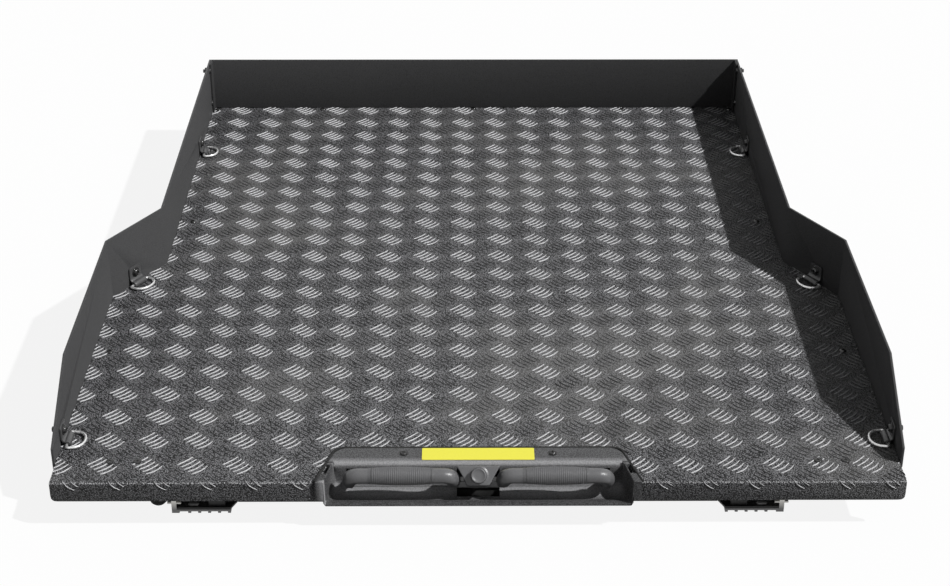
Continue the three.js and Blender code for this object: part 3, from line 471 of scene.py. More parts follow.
def joinRings(shape, rings):
    # skin between rings of the same number of points, closed at both ends
    rows = [[shape.verts.new(point) for point in ring] for ring in rings]
    count = len(rows[0])
    for near, far in zip(rows, rows[1:]):
        for i in range(count):
            j = (i + 1) % count
            shape.faces.new((near[i], near[j], far[j], far[i]))
    shape.faces.new(rows[0])
    shape.faces.new(list(reversed(rows[-1])))


def circle(count):
    angles = [2 * pi * k / count for k in range(count)]
    return [(cos(angle), sin(angle)) for angle in angles]


def turnedRings(profile, place, count):
    # profile: (radius, height) pairs about local Z, then put in place by a matrix
    return [[place @ Vector((radius * x, radius * y, height)) for x, y in circle(count)] for radius, height in profile]


def tubeRings(path, radii, count):
    # round tube along a path, with its rings turned as little as possible
    rings = []
    side = None
    for i, point in enumerate(path):
        ahead = (path[min(i + 1, len(path) - 1)] - path[max(i - 1, 0)]).normalized()
        if side is None:
            side = ahead.orthogonal().normalized()
        side = (side - ahead * side.dot(ahead)).normalized()
        other = ahead.cross(side)
        rings.append([point + (side * x + other * y) * radii[i] for x, y in circle(count)])
    return rings


def skinned(name, ringSets, finish, angle):
    shape = bmesh.new()
    for rings in ringSets:
        joinRings(shape, rings)
    return pieceOf(name, shape, finishes[finish], angle)


def addBox(shape, low, high):
    corners = [shape.verts.new([(low, high)[i >> k & 1][k] for k in range(3)]) for i in range(8)]
    for face in ((0, 2, 3, 1), (4, 5, 7, 6), (0, 1, 5, 4), (2, 6, 7, 3), (0, 4, 6, 2), (1, 3, 7, 5)):
        shape.faces.new([corners[i] for i in face])


def cutAway(piece, shape):
    # takes the volume of a shape out of a piece
    tool = pieceOf("tool", shape, finishes["black_steel"])
    modify(piece, "BOOLEAN", operation="DIFFERENCE", solver="EXACT", object=tool)
    name = piece.name
    piece.name = name + "_whole"
    piece = plainCopy(piece, name)
    bpy.data.objects.remove(tool)
    return piece


def smoothSkin(piece, name, voxel, steps, slim=0.0):
    modify(piece, "REMESH", mode="VOXEL", voxel_size=voxel * mm)
    modify(piece, "SMOOTH", factor=0.5, iterations=steps)
    modify(piece, "DISPLACE", mid_level=0.0, strength=-slim * mm)
    finish = piece.data.materials[0]
    piece = plainCopy(piece, name)
    piece.data.materials.clear()
    piece.data.materials.append(finish)
    piece.data.shade_smooth()
    return piece


# tie-down rings: the facets smoothed into one continuous skin
tieRing = {"voxel": 0.55, "relax": 4, "slim": 0.85}


def roundedRing(node):
    piece = linkNew(node + "_facets", nodes[node].data.copy())
    shape = shapeFrom(piece.data)
    mergeClose(shape)
    storeShape(shape, piece.data)
    return smoothSkin(piece, node + "_dressed", tieRing["voxel"], tieRing["relax"], tieRing["slim"])


for node in sorted(nodes):
    if node.endswith("_ring"):
        finishPiece(roundedRing(node), bodyOf[node], [node])
print("tie-down rings smoothed")

# handle: two grips, hub and arms grown into one moulding; root and bar are set out from the foot of the grips
handle = {"gripY": 9.7, "gripRise": 4, "radius": 9.9, "legRadius": 8.6, "innerX": 33, "outerX": 166.5,
          "bend": 14.4, "bendSteps": 8, "footY": 21, "footDrop": 13, "shaftY": 76, "shaftDrop": 22,
          "armHalf": 4.8, "armWidth": 8, "hubArm": 23, "boss": 10.8, "armTop": 16, "armBottom": 6,
          "rootAbove": [(-8, 3), (5, 4)], "rootBelow": (-7, -5), "barLow": (-7, -5), "barHigh": (5, 5),
          "tilt": 35, "hubTop": 28, "hubBottom": 14, "hubUp": 12.5, "hubDown": 12.5, "hubBack": -13,
          "hubFront": 2, "collar": 12, "collarUp": 3.2, "bore": 10.4, "boreFrom": -9.5, "boreTo": 40,
          "voxel": 0.8, "relax": 7}


def fromFront(x, y, z):
    return Vector((x, deckFront + y, deckTop + z))


def fromFoot(x, y, z):
    return fromFront(x, handle["footY"] + y, z - handle["footDrop"])


def onGrip(x):
    return fromFront(x, handle["gripY"], handle["gripRise"])


faceForward = Matrix.Translation(onGrip(0)) @ Matrix.Rotation(radians(90 - handle["tilt"]), 4, "X")


def bendPoints(before, corner, after):
    start, end = (corner + (point - corner).normalized() * handle["bend"] for point in (before, after))
    shares = [i / handle["bendSteps"] for i in range(handle["bendSteps"] + 1)]
    return [start * (1 - share) ** 2 + corner * 2 * share * (1 - share) + end * share * share for share in shares]


def gripPath(side):
    inner, outer = side * handle["innerX"], side * handle["outerX"]
    footInner, footOuter = fromFoot(inner, 0, 0), fromFoot(outer, 0, 0)
    path = [footInner] + bendPoints(footInner, onGrip(inner), onGrip(outer))
    return path + bendPoints(onGrip(inner), onGrip(outer), footOuter) + [footOuter]


def armShape(shape, x, width):
    look = handle
    foot, shaft = look["footY"], look["shaftY"]
    upper, lower = look["armHalf"] - look["shaftDrop"], -look["armHalf"] - look["shaftDrop"]
    outline = [(foot + y, z - look["footDrop"]) for y, z in look["rootAbove"]]
    outline += [(foot + look["armTop"], upper), (shaft, upper), (shaft, lower), (foot + look["armBottom"], lower)]
    outline.append((foot + look["rootBelow"][0], look["rootBelow"][1] - look["footDrop"]))
    joinRings(shape, [[fromFront(x + side * width / 2, y, z) for y, z in outline] for side in (-1, 1)])
    end = Matrix.Translation(fromFront(x - width / 2, shaft, -look["shaftDrop"]))
    boss = [(look["boss"], 0), (look["boss"], width)]
    joinRings(shape, turnedRings(boss, end @ Matrix.Rotation(pi / 2, 4, "Y"), 32))


def growHandle():
    look = handle
    shape = bmesh.new()
    for side in (-1, 1):
        path = gripPath(side)
        radii = [look["legRadius"]] + [look["radius"]] * (len(path) - 2) + [look["legRadius"]]
        joinRings(shape, tubeRings(path, radii, 28))
        armShape(shape, side * look["outerX"], look["armWidth"])
    armShape(shape, 0, look["hubArm"])
    low, high = (look["hubBottom"], -look["hubDown"]), (look["hubTop"], look["hubUp"])
    corners = [(-low[0], low[1]), low, high, (-high[0], high[1])]
    depths = (look["hubBack"], look["hubFront"])
    joinRings(shape, [[faceForward @ Vector((x, y, depth)) for x, y in corners] for depth in depths])
    collar = [(look["collar"], look["hubBack"]), (look["collar"], look["collarUp"])]
    joinRings(shape, turnedRings(collar, faceForward, 48))
    addBox(shape, fromFoot(-look["innerX"], *look["barLow"]), fromFoot(look["innerX"], *look["barHigh"]))
    piece = pieceOf("handle_shapes", shape, finishes["grip_plastic"])
    piece = smoothSkin(piece, "handle_moulding", look["voxel"], look["relax"])
    bore = bmesh.new()
    joinRings(bore, turnedRings([(look["bore"], look["boreFrom"]), (look["bore"], look["boreTo"])], faceForward, 48))
    return cutAway(piece, bore)


finishPiece(growHandle(), "handle", ["handle_frame"], 50)

# ribbed sleeves on the grips
sleeve = {"from": 57.3, "to": 141.7, "endRadius": 10.15, "middleRadius": 12.1, "ribPitch": 2.45, "ribDepth": 0.36,
          "seamDepth": 0.7, "seamHalf": 0.009, "seamBeyond": 0.02, "plainEnd": 0.05, "points": 420, "sides": 40}


def nodesTree(name, inputs, build):
    # build gives the geometry that is realized and coated at the end
    inputs = {"Geometry": "Geometry", **inputs, "Finish": "Material"}
    tree, given, result, sockets = newGroup(name, "GeometryNodeTree", inputs, {"Coated": "Geometry"})
    real = out(tree, "GeometryNodeRealizeInstances", {"Geometry": build(tree, given)})
    feed(tree, result[0], out(tree, "GeometryNodeSetMaterial", {"Geometry": real, "Material": given["Finish"]}))
    return tree, sockets


def sleeveSkin(tree, given):
    line = out(tree, "GeometryNodeCurvePrimitiveLine", {"Start": given["From"], "End": given["To"]})
    fine = out(tree, "GeometryNodeResampleCurve", {"Curve": line, "Count": given["Points"]})
    along = put(tree, "GeometryNodeSplineParameter").outputs["Factor"]
    fromMiddle = calc(tree, "MULTIPLY_ADD", along, 2.0, -1.0)
    crown = minus(tree, 1.0, times(tree, fromMiddle, fromMiddle))
    swell = times(tree, crown, minus(tree, given["Middle Radius"], given["End Radius"]))
    wave = calc(tree, "SINE", times(tree, times(tree, along, given["Ribs"]), 2 * pi))
    groove = times(tree, calc(tree, "MAXIMUM", times(tree, wave, -1.0), 0.0), given["Rib Depth"])
    ribbed = minus(tree, 1.0, times(tree, given["Plain End"], 2.0))
    outward = calc(tree, "ABSOLUTE", fromMiddle)
    inside = calc(tree, "LESS_THAN", outward, ribbed)
    offSeam = calc(tree, "ABSOLUTE", minus(tree, outward, calc(tree, "ADD", ribbed, given["Seam Beyond"])))
    seam = times(tree, calc(tree, "LESS_THAN", offSeam, given["Seam Half"]), given["Seam Depth"])
    cut = calc(tree, "ADD", times(tree, groove, inside), seam)
    radius = minus(tree, calc(tree, "ADD", given["End Radius"], swell), cut)
    shaped = out(tree, "GeometryNodeSetCurveRadius", {"Curve": fine, "Radius": radius})
    ring = out(tree, "GeometryNodeCurvePrimitiveCircle", {"Resolution": given["Sides"], "Radius": 1.0})
    skin = put(tree, "GeometryNodeCurveToMesh", {"Curve": shaped, "Profile Curve": ring, "Fill Caps": True})
    if "Scale" in skin.inputs:
        feed(tree, skin.inputs["Scale"], radius)
    return skin.outputs[0]


def grown(name, nodesAndSockets, settings, mesh=None):
    # runs a nodes tree and keeps its result as a plain mesh
    tree, sockets = nodesAndSockets
    piece = linkNew(name + "_seed", mesh or bpy.data.meshes.new(name))
    grow = piece.modifiers.new("grow", "NODES")
    grow.node_group = tree
    for label, value in settings.items():
        grow[sockets[label]] = value
    return plainCopy(piece, name)


sleeveNodes = nodesTree("ribbed sleeve", {
    "From": "Vector", "To": "Vector",
    "End Radius": sleeve["endRadius"] * mm, "Middle Radius": sleeve["middleRadius"] * mm,
    "Ribs": (sleeve["to"] - sleeve["from"]) / sleeve["ribPitch"], "Rib Depth": sleeve["ribDepth"] * mm,
    "Seam Depth": sleeve["seamDepth"] * mm, "Seam Half": sleeve["seamHalf"], "Seam Beyond": sleeve["seamBeyond"],
    "Plain End": sleeve["plainEnd"], "Points": sleeve["points"], "Sides": sleeve["sides"]}, sleeveSkin)
for word, side in hands.items():
    piece = grown(word + "_ribbed_sleeve", sleeveNodes, {
        "From": onGrip(side * sleeve["from"]) * mm, "To": onGrip(side * sleeve["to"]) * mm,
        "Finish": finishes["sleeve_rubber"]})
    finishPiece(piece, "handle", [word + "_grip_sleeve"], 50)

# push button with a dished face: (radius, height) pairs
button = [(9.9, -5), (9.9, 10.6), (9.7, 11.3), (9.2, 11.8), (8.6, 12), (7.9, 11.9), (7.4, 11.4), (6.6, 11), (3.5, 10.8)]
buttonPiece = skinned("push_button", [turnedRings(button, faceForward, 48)], "grip_plastic", 50)
finishPiece(buttonPiece, "button", ["lock_button"])
print("button ready")

# handle housing: a scooped tub with cheeks, its flange lies on the deck; pairs are y and z from the lip's front edge
housing = {"frontHalf": 209.7, "backHalf": 185.7, "back": 76, "corner": 14, "rise": 3, "mouthHalf": 199,
           "tubBackHalf": 188.5, "cheekEnd": 42, "overhang": 3.4, "thick": 1.5, "rootFront": 2.5, "rootBack": 16,
           "rootFrom": -1, "rootTo": 27, "heel": 9, "brow": 8.7, "browY": 49.8, "edge": 1.2, "draft": 0.02,
           "slotFrom": -31.5, "slotTo": -5, "slotHalf": 5.4, "slotsBehind": 25, "hubSlotFrom": -41,
           "hubSlotHalf": 28, "pocketFrom": 17, "pocketTo": 36.5, "pocketDepth": 11, "cheekWall": 1.9,
           "noseBottom": -25.5, "noseFront": 0.02, "noseBack": -0.35, "noseEdge": 0.9, "scuff": 2.2}
scoopFloor = [(-3.4, -34), (-3.3, -32.2), (-2.2, -31.1), (0, -31.2), (4, -31.6), (8, -32.6), (12, -35.6), (15, -37.2),
              (16.9, -38), (17, -38), (21, -38.9), (26, -39.6), (30, -40), (33.5, -40.2)]
scoopBack = [(42.4, -25), (42, -18), (41.5, -12)]
flangeSteps = (54, 58, 62, 64.5, 67, 69.5, 71.6, 73.3, 74.6, 75.4, 75.9)
flangeRim = (2.5, 0.3)
floorColumns = (130, 95, 60, 32, housing["hubSlotHalf"], 5)
tubLighter = {"backY": 39, "browTo": 50, "browZ": 0.6, "browFull": 1.2, "browGone": 3.4, "heelBelow": -8, "heelY": (14, 34),
        "heelZ": (-31, -26), "heelDust": 0.75, "heelRim": 0.35, "wallFrom": -12, "wallTo": 2, "wallDust": 0.3,
        "topFrom": 48, "topAbove": 1, "topDust": 0.1}
gasket = {"out": 1.5, "bead": 1.85, "rise": 1.95}
hubShadePocket = {"half": 29, "front": 25.5, "back": 45.2, "rim": -41.9, "bottom": -54, "taper": 0.97,
             "thick": 1.2, "edge": 0.5}


def scoopLine():
    # stations from the nose over the hollow floor, up the back and over the rounded edge to the flange
    heel, brow, rise = housing["heel"], housing["brow"], housing["rise"]
    floorY, floorZ = scoopFloor[-1]
    line = list(scoopFloor)
    for k in range(1, 10):
        turn = radians(10 * k)
        line.append((floorY + heel * sin(turn), floorZ + heel - heel * cos(turn)))
    line += scoopBack
    for k in range(10):
        turn = radians(10 * k)
        line.append((housing["browY"] - brow * cos(turn), rise - brow + brow * sin(turn)))
    return line + [(y, rise) for y in flangeSteps] + [(housing["back"], z) for z in flangeRim]


def slide(value, start, end, atStart, atEnd):
    share = min(1, max(0, (value - start) / (end - start)))
    return atStart + (atEnd - atStart) * share


def flangeHalf(y):
    # half width of the flange, with rounded rear corners
    half = slide(y, -housing["overhang"], housing["back"], housing["frontHalf"], housing["backHalf"])
    into = y - (housing["back"] - housing["corner"])
    if into > 0:
        half -= housing["corner"] - sqrt(max(0.0, housing["corner"] ** 2 - into ** 2))
    return half


def housingRow(y, z):
    # points across the tub at one station, from the right half's rim inwards: flange, cheek, hollow corner, floor
    tub = housing
    outer = flangeHalf(y)
    cheek = slide(y, -tub["overhang"], tub["cheekEnd"], tub["mouthHalf"], tub["tubBackHalf"])
    top = tub["rise"] if y <= flangeSteps[-1] else z
    depth = max(0.0, top - z)
    root = min(slide(y, tub["rootFrom"], tub["rootTo"], tub["rootFront"], tub["rootBack"]), depth * 0.8)
    edge = min(tub["edge"], depth * 0.2)
    wall = cheek + tub["cheekWall"]
    inPocket = tub["pocketFrom"] <= y <= tub["pocketTo"]
    if inPocket:
        floor = top - tub["pocketDepth"]
        row = [(wall + 8, floor), (wall + 4, floor), (wall + 0.1, floor), (wall + 0.05, floor * 0.4),
               (wall + 0.02, top - 0.3)]
    else:
        row = [(outer, min(top - 0.3, 0.2)), (outer, top - 0.8), (outer - 0.25, top - 0.25), (outer - 0.8, top),
               (wall + 0.1, top)]
    row += [(wall, top), (cheek + edge, top)]
    for turn in (pi / 6, pi / 3, pi / 2):
        row.append((cheek + edge * (1 - sin(turn)), top - edge * (1 - cos(turn))))
    row.append((cheek - tub["draft"] * (depth - root) * 0.5, top - edge - (depth - root - edge) * 0.5))
    foot = cheek - tub["draft"] * depth
    for k in range(9):
        turn = pi * k / 16
        row.append((foot - root * (1 - cos(turn)), z + root * (1 - sin(turn))))
    slots = (handle["outerX"] + tub["slotHalf"], handle["outerX"] - tub["slotHalf"])
    row += [(x, z) for x in slots + floorColumns]
    if not inPocket:
        # keep the points in order where the flange is narrower than the tub
        for i in range(4, len(row)):
            row[i] = (min(row[i][0], row[i - 1][0] - 0.02), row[i][1])
    return [(-x, y, height) for x, height in row] + [(x, y, height) for x, height in reversed(row)]


def wornThere(y, z):
    # painted highlight where the light falls: the rounded rear edge, also rubbed, the back wall above the grips and the
    # flange's top are painted lighter; the heel of the hollow is painted lighter too
    look = tubLighter
    found = [0.0]
    if look["backY"] < y < look["browTo"]:
        found.append(slide(abs(z - look["browZ"]), look["browFull"], look["browGone"], 1.0, 0.0))
    if z < look["heelBelow"]:
        found.append(slide(y, *look["heelY"], 0.0, look["heelDust"]) * slide(z, *look["heelZ"], 1.0, look["heelRim"]))
    if y > look["backY"] and look["wallFrom"] < z < look["wallTo"]:
        found.append(look["wallDust"])
    if y > look["topFrom"] and z > look["topAbove"]:
        found.append(look["topDust"])
    return max(found)


def housingSheet():
    # skin between the stations, open where the handle's arms and hub pass through
    tub = housing
    shape = bmesh.new()
    line = scoopLine()
    rows = [housingRow(y, z) for y, z in line]
    points = [[shape.verts.new(fromFront(*point)) for point in row] for row in rows]
    slots = [(side * handle["outerX"], tub["slotHalf"] + 0.1, tub["slotFrom"]) for side in (-1, 1)]
    slots.append((0, tub["hubSlotHalf"] + 0.1, tub["hubSlotFrom"]))
    for i in range(len(rows) - 1):
        behind = line[i + 1][1] <= tub["slotTo"] and line[i][0] > tub["slotsBehind"]
        for j in range(len(rows[i]) - 1):
            near, far = rows[i][j], rows[i][j + 1]
            level = abs(near[2] - far[2]) < 0.01
            within = [low for middle, half, low in slots if middle - half < near[0] and far[0] < middle + half]
            if not (behind and level and within and line[i][1] >= within[0]):
                shape.faces.new((points[i][j], points[i][j + 1], points[i + 1][j + 1], points[i + 1][j]))
    return pieceOf("housing_sheet", shape, finishes["housing_plastic"], 50)


def growHousing():
    tub = housing
    piece = housingSheet()
    upwards = sum(face.normal.z for face in piece.data.polygons) > 0
    modify(piece, "SOLIDIFY", thickness=tub["thick"] * mm, offset=-1 if upwards else 1, use_even_offset=False)
    piece = plainCopy(piece, "handle_tub")
    shape = shapeFrom(piece.data)
    bmesh.ops.scale(shape, vec=(1 / mm, 1 / mm, 1 / mm), verts=shape.verts)
    for side in (-1, 1):
        nose = bmesh.new()
        near, far = sorted((side * (tub["mouthHalf"] + 0.3), side * tub["frontHalf"]))
        addBox(nose, fromFront(near, tub["noseFront"] - tub["overhang"], tub["noseBottom"]),
               fromFront(far, tub["noseBack"], tub["rise"] - 0.05))
        bmesh.ops.recalc_face_normals(nose, faces=nose.faces)
        bmesh.ops.bevel(nose, geom=nose.edges[:], offset=tub["noseEdge"], segments=3, profile=0.5, affect="EDGES")
        block = bpy.data.meshes.new("nose")
        storeShape(nose, block)
        shape.from_mesh(block)
        bpy.data.meshes.remove(block)
    bmesh.ops.scale(shape, vec=(mm, mm, mm), verts=shape.verts)
    storeShape(shape, piece.data)
    worn = piece.data.attributes.new("worn", "FLOAT", "POINT")
    for vertex in piece.data.vertices:
        place = vertex.co / mm - fromFront(0, 0, 0)
        # painted highlight on the sunlit left cheek's front edge, which also stands for wear
        litFrontEdge = place.x < 0 and place.y < 0.5 and abs(place.x + tub["mouthHalf"]) < tub["scuff"]
        worn.data[vertex.index].value = 1.0 if litFrontEdge else wornThere(place.y, place.z)
    return piece


def growGasket():
    # dark bead between the flange's rim and the deck
    gap, corner, straight = gasket["out"], housing["corner"], housing["back"] - housing["corner"]
    rim = [(flangeHalf(y) + gap, y) for y in (-0.5, 15.0, 30.0, 45.0, straight)]
    middle = flangeHalf(straight) - corner
    for k in range(1, 9):
        turn = pi * k / 16
        rim.append((middle + (corner + gap) * cos(turn), straight + (corner + gap) * sin(turn)))
    right = [fromFront(x, y, gasket["rise"]) for x, y in rim]
    path = right + [Vector((-point.x, point.y, point.z)) for point in reversed(right)]
    return skinned("flange_gasket", [tubeRings(path, [gasket["bead"]] * len(path), 8)], "rubber", 60)


def growPocket():
    # closed pocket below the middle slot, open towards the tub and the guard; its dark rubber paints the shade under
    # the hub
    look = hubShadePocket
    half, front, back = look["half"], look["front"], look["back"]
    corners = [(-half, front), (half, front), (half, back), (-half, back)]
    shape = bmesh.new()
    low = [shape.verts.new(fromFront(x * look["taper"], y, look["bottom"])) for x, y in corners]
    high = [shape.verts.new(fromFront(x, y, look["rim"])) for x, y in corners]
    shape.faces.new(low)
    for i in range(4):
        j = (i + 1) % 4
        shape.faces.new((low[i], low[j], high[j], high[i]))
    piece = pieceOf("pocket_sheet", shape, finishes["rubber"], 40)
    modify(piece, "SOLIDIFY", thickness=look["thick"] * mm, offset=-1)
    modify(piece, "BEVEL", width=look["edge"] * mm, segments=2)
    return plainCopy(piece, "hub_pocket")


finishPiece(growPocket(), "tray")
finishPiece(growGasket(), "tray")
finishPiece(growHousing(), "tray", ["handle_housing"], 42)

# tread: stations along a bar are (place, height, thickness), each a share of the bar's own
tread = {"pitch": 58.6, "x": -19.1, "y": -571.5, "bars": 5, "gap": 7.7, "length": 26.5, "wide": 1.85, "narrow": 1.35,
         "height": 1.15, "flatTop": 0.16, "sunk": 0.3, "sagFirst": 1, "sagLast": 2.8, "sagFrom": 0.4,
         "heightSpread": 0.12, "columns": 21,
         "stations": [(-1, 0.25, 0.4), (-0.88, 0.9, 0.95), (-0.45, 1, 1), (0, 1, 1), (0.45, 1, 1),
                      (0.86, 0.85, 0.85), (1, 0.1, 0.3)]}
# the near bars get the lighter coat, a painted highlight, and the cross bars the darker coat, a painted shade
treadSets = {
    "tread_bars_near": {"rows": 21, "move": (0, 0), "turn": 0.0, "seed": 3, "coat": "rubbed_coat"},
    "tread_bars_cross": {"rows": 22, "move": (0.5, -0.5), "turn": -pi / 2, "seed": 8, "coat": "pressed_coat"},
}
deckEdges = {"bend": 4, "bendSteps": 4, "wide": 550.2, "narrow": 483.2, "slantFrom": -116, "slantTo": -5,
             "rear": 613.1, "flangeHalf": 210, "flangeBackHalf": 186, "flangeBack": -535,
             "tubHalf": 204, "tubBackHalf": 193.5, "tubBack": -560}


def fiveBars():
    # one stamp of curved bars that run towards +X +Y, thicker at their near end
    along, across = Vector((1, 1, 0)).normalized(), Vector((-1, 1, 0)).normalized()
    shape = bmesh.new()
    for bar in range(tread["bars"]):
        step = bar - (tread["bars"] - 1) / 2
        sag = tread["sagFirst"] + (tread["sagLast"] - tread["sagFirst"]) * bar / (tread["bars"] - 1)
        rings = []
        for place, tall, thick in tread["stations"]:
            width = (tread["wide"] + (tread["narrow"] - tread["wide"]) * (place + 1) / 2) * thick
            middle = along * (place * tread["length"] / 2)
            middle += across * (sag * (place * place - tread["sagFrom"]) - step * tread["gap"])
            top, flat, foot = tread["height"] * tall, tread["flatTop"], -tread["sunk"]
            section = ((-0.5, foot), (-flat, top), (flat, top), (0.5, foot))
            rings.append([(middle + across * (side * width) + Vector((0, 0, height))) * mm for side, height in section])
        joinRings(shape, rings)
    bmesh.ops.recalc_face_normals(shape, faces=shape.faces)
    mesh = bpy.data.meshes.new("stamp")
    storeShape(shape, mesh)
    return mesh


def treadStamps(tree, given):
    columns, rows = given["Columns"], given["Rows"]
    spans = [times(tree, minus(tree, count, 1.0), given["Pitch"]) for count in (columns, rows)]
    grid = out(tree, "GeometryNodeMeshGrid", {
        "Size X": spans[0], "Size Y": spans[1], "Vertices X": columns, "Vertices Y": rows})
    moved = out(tree, "GeometryNodeTransform", {"Geometry": grid, "Translation": given["Centre"]})
    spin = out(tree, "ShaderNodeCombineXYZ", {"Z": given["Turn"]})
    low, high = (calc(tree, operation, 1.0, given["Height Spread"]) for operation in ("SUBTRACT", "ADD"))
    tall = put(tree, "FunctionNodeRandomValue", {2: low, 3: high, "Seed": given["Seed"]}, data_type="FLOAT").outputs[1]
    size = out(tree, "ShaderNodeCombineXYZ", {"X": 1.0, "Y": 1.0, "Z": tall})
    return out(tree, "GeometryNodeInstanceOnPoints", {
        "Points": moved, "Instance": given["Geometry"], "Rotation": spin, "Scale": size})


def fitTread(mesh):
    # cut the bars at the walls and the handle housing, and roll the front ones over the lip
    edge = deckEdges
    barPoints = 4 * len(tread["stations"])
    keep = []
    for start in range(0, len(mesh.vertices), barPoints):
        inside = under = 0
        for vertex in mesh.vertices[start:start + barPoints]:
            x, y, z = (value / mm for value in vertex.co)
            limit = slide(y, edge["slantFrom"], edge["slantTo"], edge["wide"], edge["narrow"])
            inside += abs(x) < limit and y < edge["rear"]
            flange = slide(y, deckFront, edge["flangeBack"], edge["flangeHalf"], edge["flangeBackHalf"])
            under += abs(x) < flange and y < edge["flangeBack"]
            x, y = max(-limit, min(limit, x)), min(edge["rear"], y)
            tub = slide(y, deckFront, edge["tubBack"], edge["tubHalf"], edge["tubBackHalf"])
            if abs(x) < tub and y < edge["tubBack"]:
                x = copysign(tub, x)
            vertex.co = Vector((x, y, z)) * mm
        keep += [inside > barPoints / 4 and under < barPoints] * barPoints
    shape = shapeFrom(mesh)
    bmesh.ops.delete(shape, geom=[vertex for vertex, kept in zip(shape.verts, keep) if not kept], context="VERTS")
    bendStart = deckFront + edge["bend"]
    quarter = edge["bend"] * pi / 2
    for step in range(edge["bendSteps"] + 1):
        cut = (bendStart - quarter * step / edge["bendSteps"]) * mm
        near = set()
        for face in shape.faces:
            heights = [vertex.co.y for vertex in face.verts]
            if min(heights) < cut < max(heights):
                near.update((face, *face.edges, *face.verts))
        bmesh.ops.bisect_plane(shape, geom=list(near), plane_co=(0, cut, 0), plane_no=(0, 1, 0))
    # the bars rolled over the lip are marked for a painted highlight, their glint on the fold
    foldGlint = shape.verts.layers.float.new("worn")
    for vertex in shape.verts:
        x, y, height = vertex.co / mm
        past = bendStart - y
        z = deckTop + height
        if past > 0:
            angle = min(past / edge["bend"], pi / 2)
            reach = edge["bend"] + height
            y = bendStart - reach * sin(angle)
            z = deckTop - edge["bend"] + reach * cos(angle) - max(0, past - quarter)
            vertex[foldGlint] = 1.0
        vertex.co = Vector((x, y, z)) * mm
    storeShape(shape, mesh)


treadNodes = nodesTree("tread", {
    "Pitch": tread["pitch"] * mm, "Columns": tread["columns"], "Height Spread": tread["heightSpread"],
    "Rows": 1, "Centre": "Vector", "Turn": 0.0, "Seed": 0}, treadStamps)
for name, look in treadSets.items():
    middleX = tread["x"] + look["move"][0] * tread["pitch"]
    middleY = tread["y"] + ((look["rows"] - 1) / 2 + look["move"][1]) * tread["pitch"]
    piece = grown(name, treadNodes, {
        "Rows": look["rows"], "Centre": (middleX * mm, middleY * mm, 0.0), "Turn": look["turn"], "Seed": look["seed"],
        "Finish": finishes[look["coat"]]}, fiveBars())
    fitTread(piece.data)
    finishPiece(piece, "tray", angle=30)

# screws and bolts, set out on their spots; outlines are (radius, height) pairs
heads = {
    "button": {"outline": [(5.1, -0.5), (5.1, 0.3), (4.7, 1.3), (3.9, 2.1), (3, 2.6)],
               "recess": [(2.1, 2.6), (1.89, 0.9)], "kind": "hex"},
    "flat": {"outline": [(5.6, -0.4), (5.6, 1.1), (5.2, 1.4), (4.8, 1.2), (4.5, 1.2), (4.3, 1.6), (3.8, 1.8)],
             "recess": [(2.7, 1.8), (2.43, 0.6)], "kind": "cross"},
    "housing": {"outline": [(6.6, -0.3), (6.6, 0.2), (6.3, 0.35), (5.8, 0.25), (5, 0.05), (4.8, 0.05), (4.6, 1.1),
                            (4, 1.95), (3.2, 2.35)],
                "recess": [(2.8, 2.35), (2.52, 0.65)], "kind": "cross"},
}
nut = {"faces": [(5.8, 0), (6.3, 0.5), (6.3, 4.7), (5.7, 5.2)], "stud": [(3.4, 0.2), (3.4, 7.8), (2.8, 8.4)]}
screwSets = {
    "deck_screws": {"head": "button", "height": 75, "seed": 4, "spots": [
        (-280, 604), (0, 605), (276, 604), (-474, 603), (474, 603), (-460.5, 137), (460.5, 137),
        (-526.8, -281), (526.8, -281)]},
    "lip_screws": {"head": "flat", "height": 75, "seed": 5, "spots": [
        (-480, -561.8), (-444, -561.8), (444, -561.8), (480, -561.8)]},
    "flange_screws": {"head": "housing", "height": 78, "seed": 6, "spots": [(-97.5, -547.7), (97.5, -547.7)],
                      "replaced": ["left_housing_screw", "right_housing_screw"]},
}
cornerScrews = {"spots": [(589, 158), (589, 95)], "headX": 482.9, "nutX": 486.4, "headSeed": 7, "nutSeed": 9}
around = 36  # points round a head, a recess or a nut
upright = Matrix.Identity(4)


def keyRings(kind, profile, place=upright):
    # like turnedRings, but with a hexagon or a cross instead of a circle
    reaches = []
    for k in range(around):
        angle = 2 * pi * k / around
        if kind == "hex":
            part = angle % (pi / 3) - pi / 6
            reaches.append(cos(pi / 6) / cos(part))
        else:
            part = (angle + pi / 4) % (pi / 2) - pi / 4
            reaches.append(max(0.3, min(1 / cos(part), 0.2 / max(abs(sin(part)), 0.01))))
    outline = [(reach * x, reach * y) for reach, (x, y) in zip(reaches, circle(around))]
    return [[place @ Vector((size * x, size * y, height)) for x, y in outline] for size, height in profile]


def headMesh(name, look):
    rings = turnedRings(look["outline"], upright, around) + keyRings(look["kind"], look["recess"])
    return skinned(name + "_head", [rings], "screw_black", 35)


def fastenersOut(tree, given):
    info = put(tree, "GeometryNodeObjectInfo", {"Object": given["Fastener"]}, transform_space="ORIGINAL")
    spots = out(tree, "GeometryNodeMeshToPoints", {"Mesh": given["Geometry"]})
    placed = out(tree, "GeometryNodeInstanceOnPoints", {
        "Points": spots, "Instance": info.outputs["Geometry"], "Rotation": given["Tilt"]})
    turn = put(tree, "FunctionNodeRandomValue", {3: given["Spin"], "Seed": given["Seed"]}, data_type="FLOAT").outputs[1]
    aboutAxis = out(tree, "ShaderNodeCombineXYZ", {"Z": turn})
    return out(tree, "GeometryNodeRotateInstances", {"Instances": placed, "Rotation": aboutAxis, "Local Space": True})


fastenerNodes = nodesTree("fasteners", {"Fastener": "Object", "Tilt": "Vector", "Spin": 6.28, "Seed": 0}, fastenersOut)


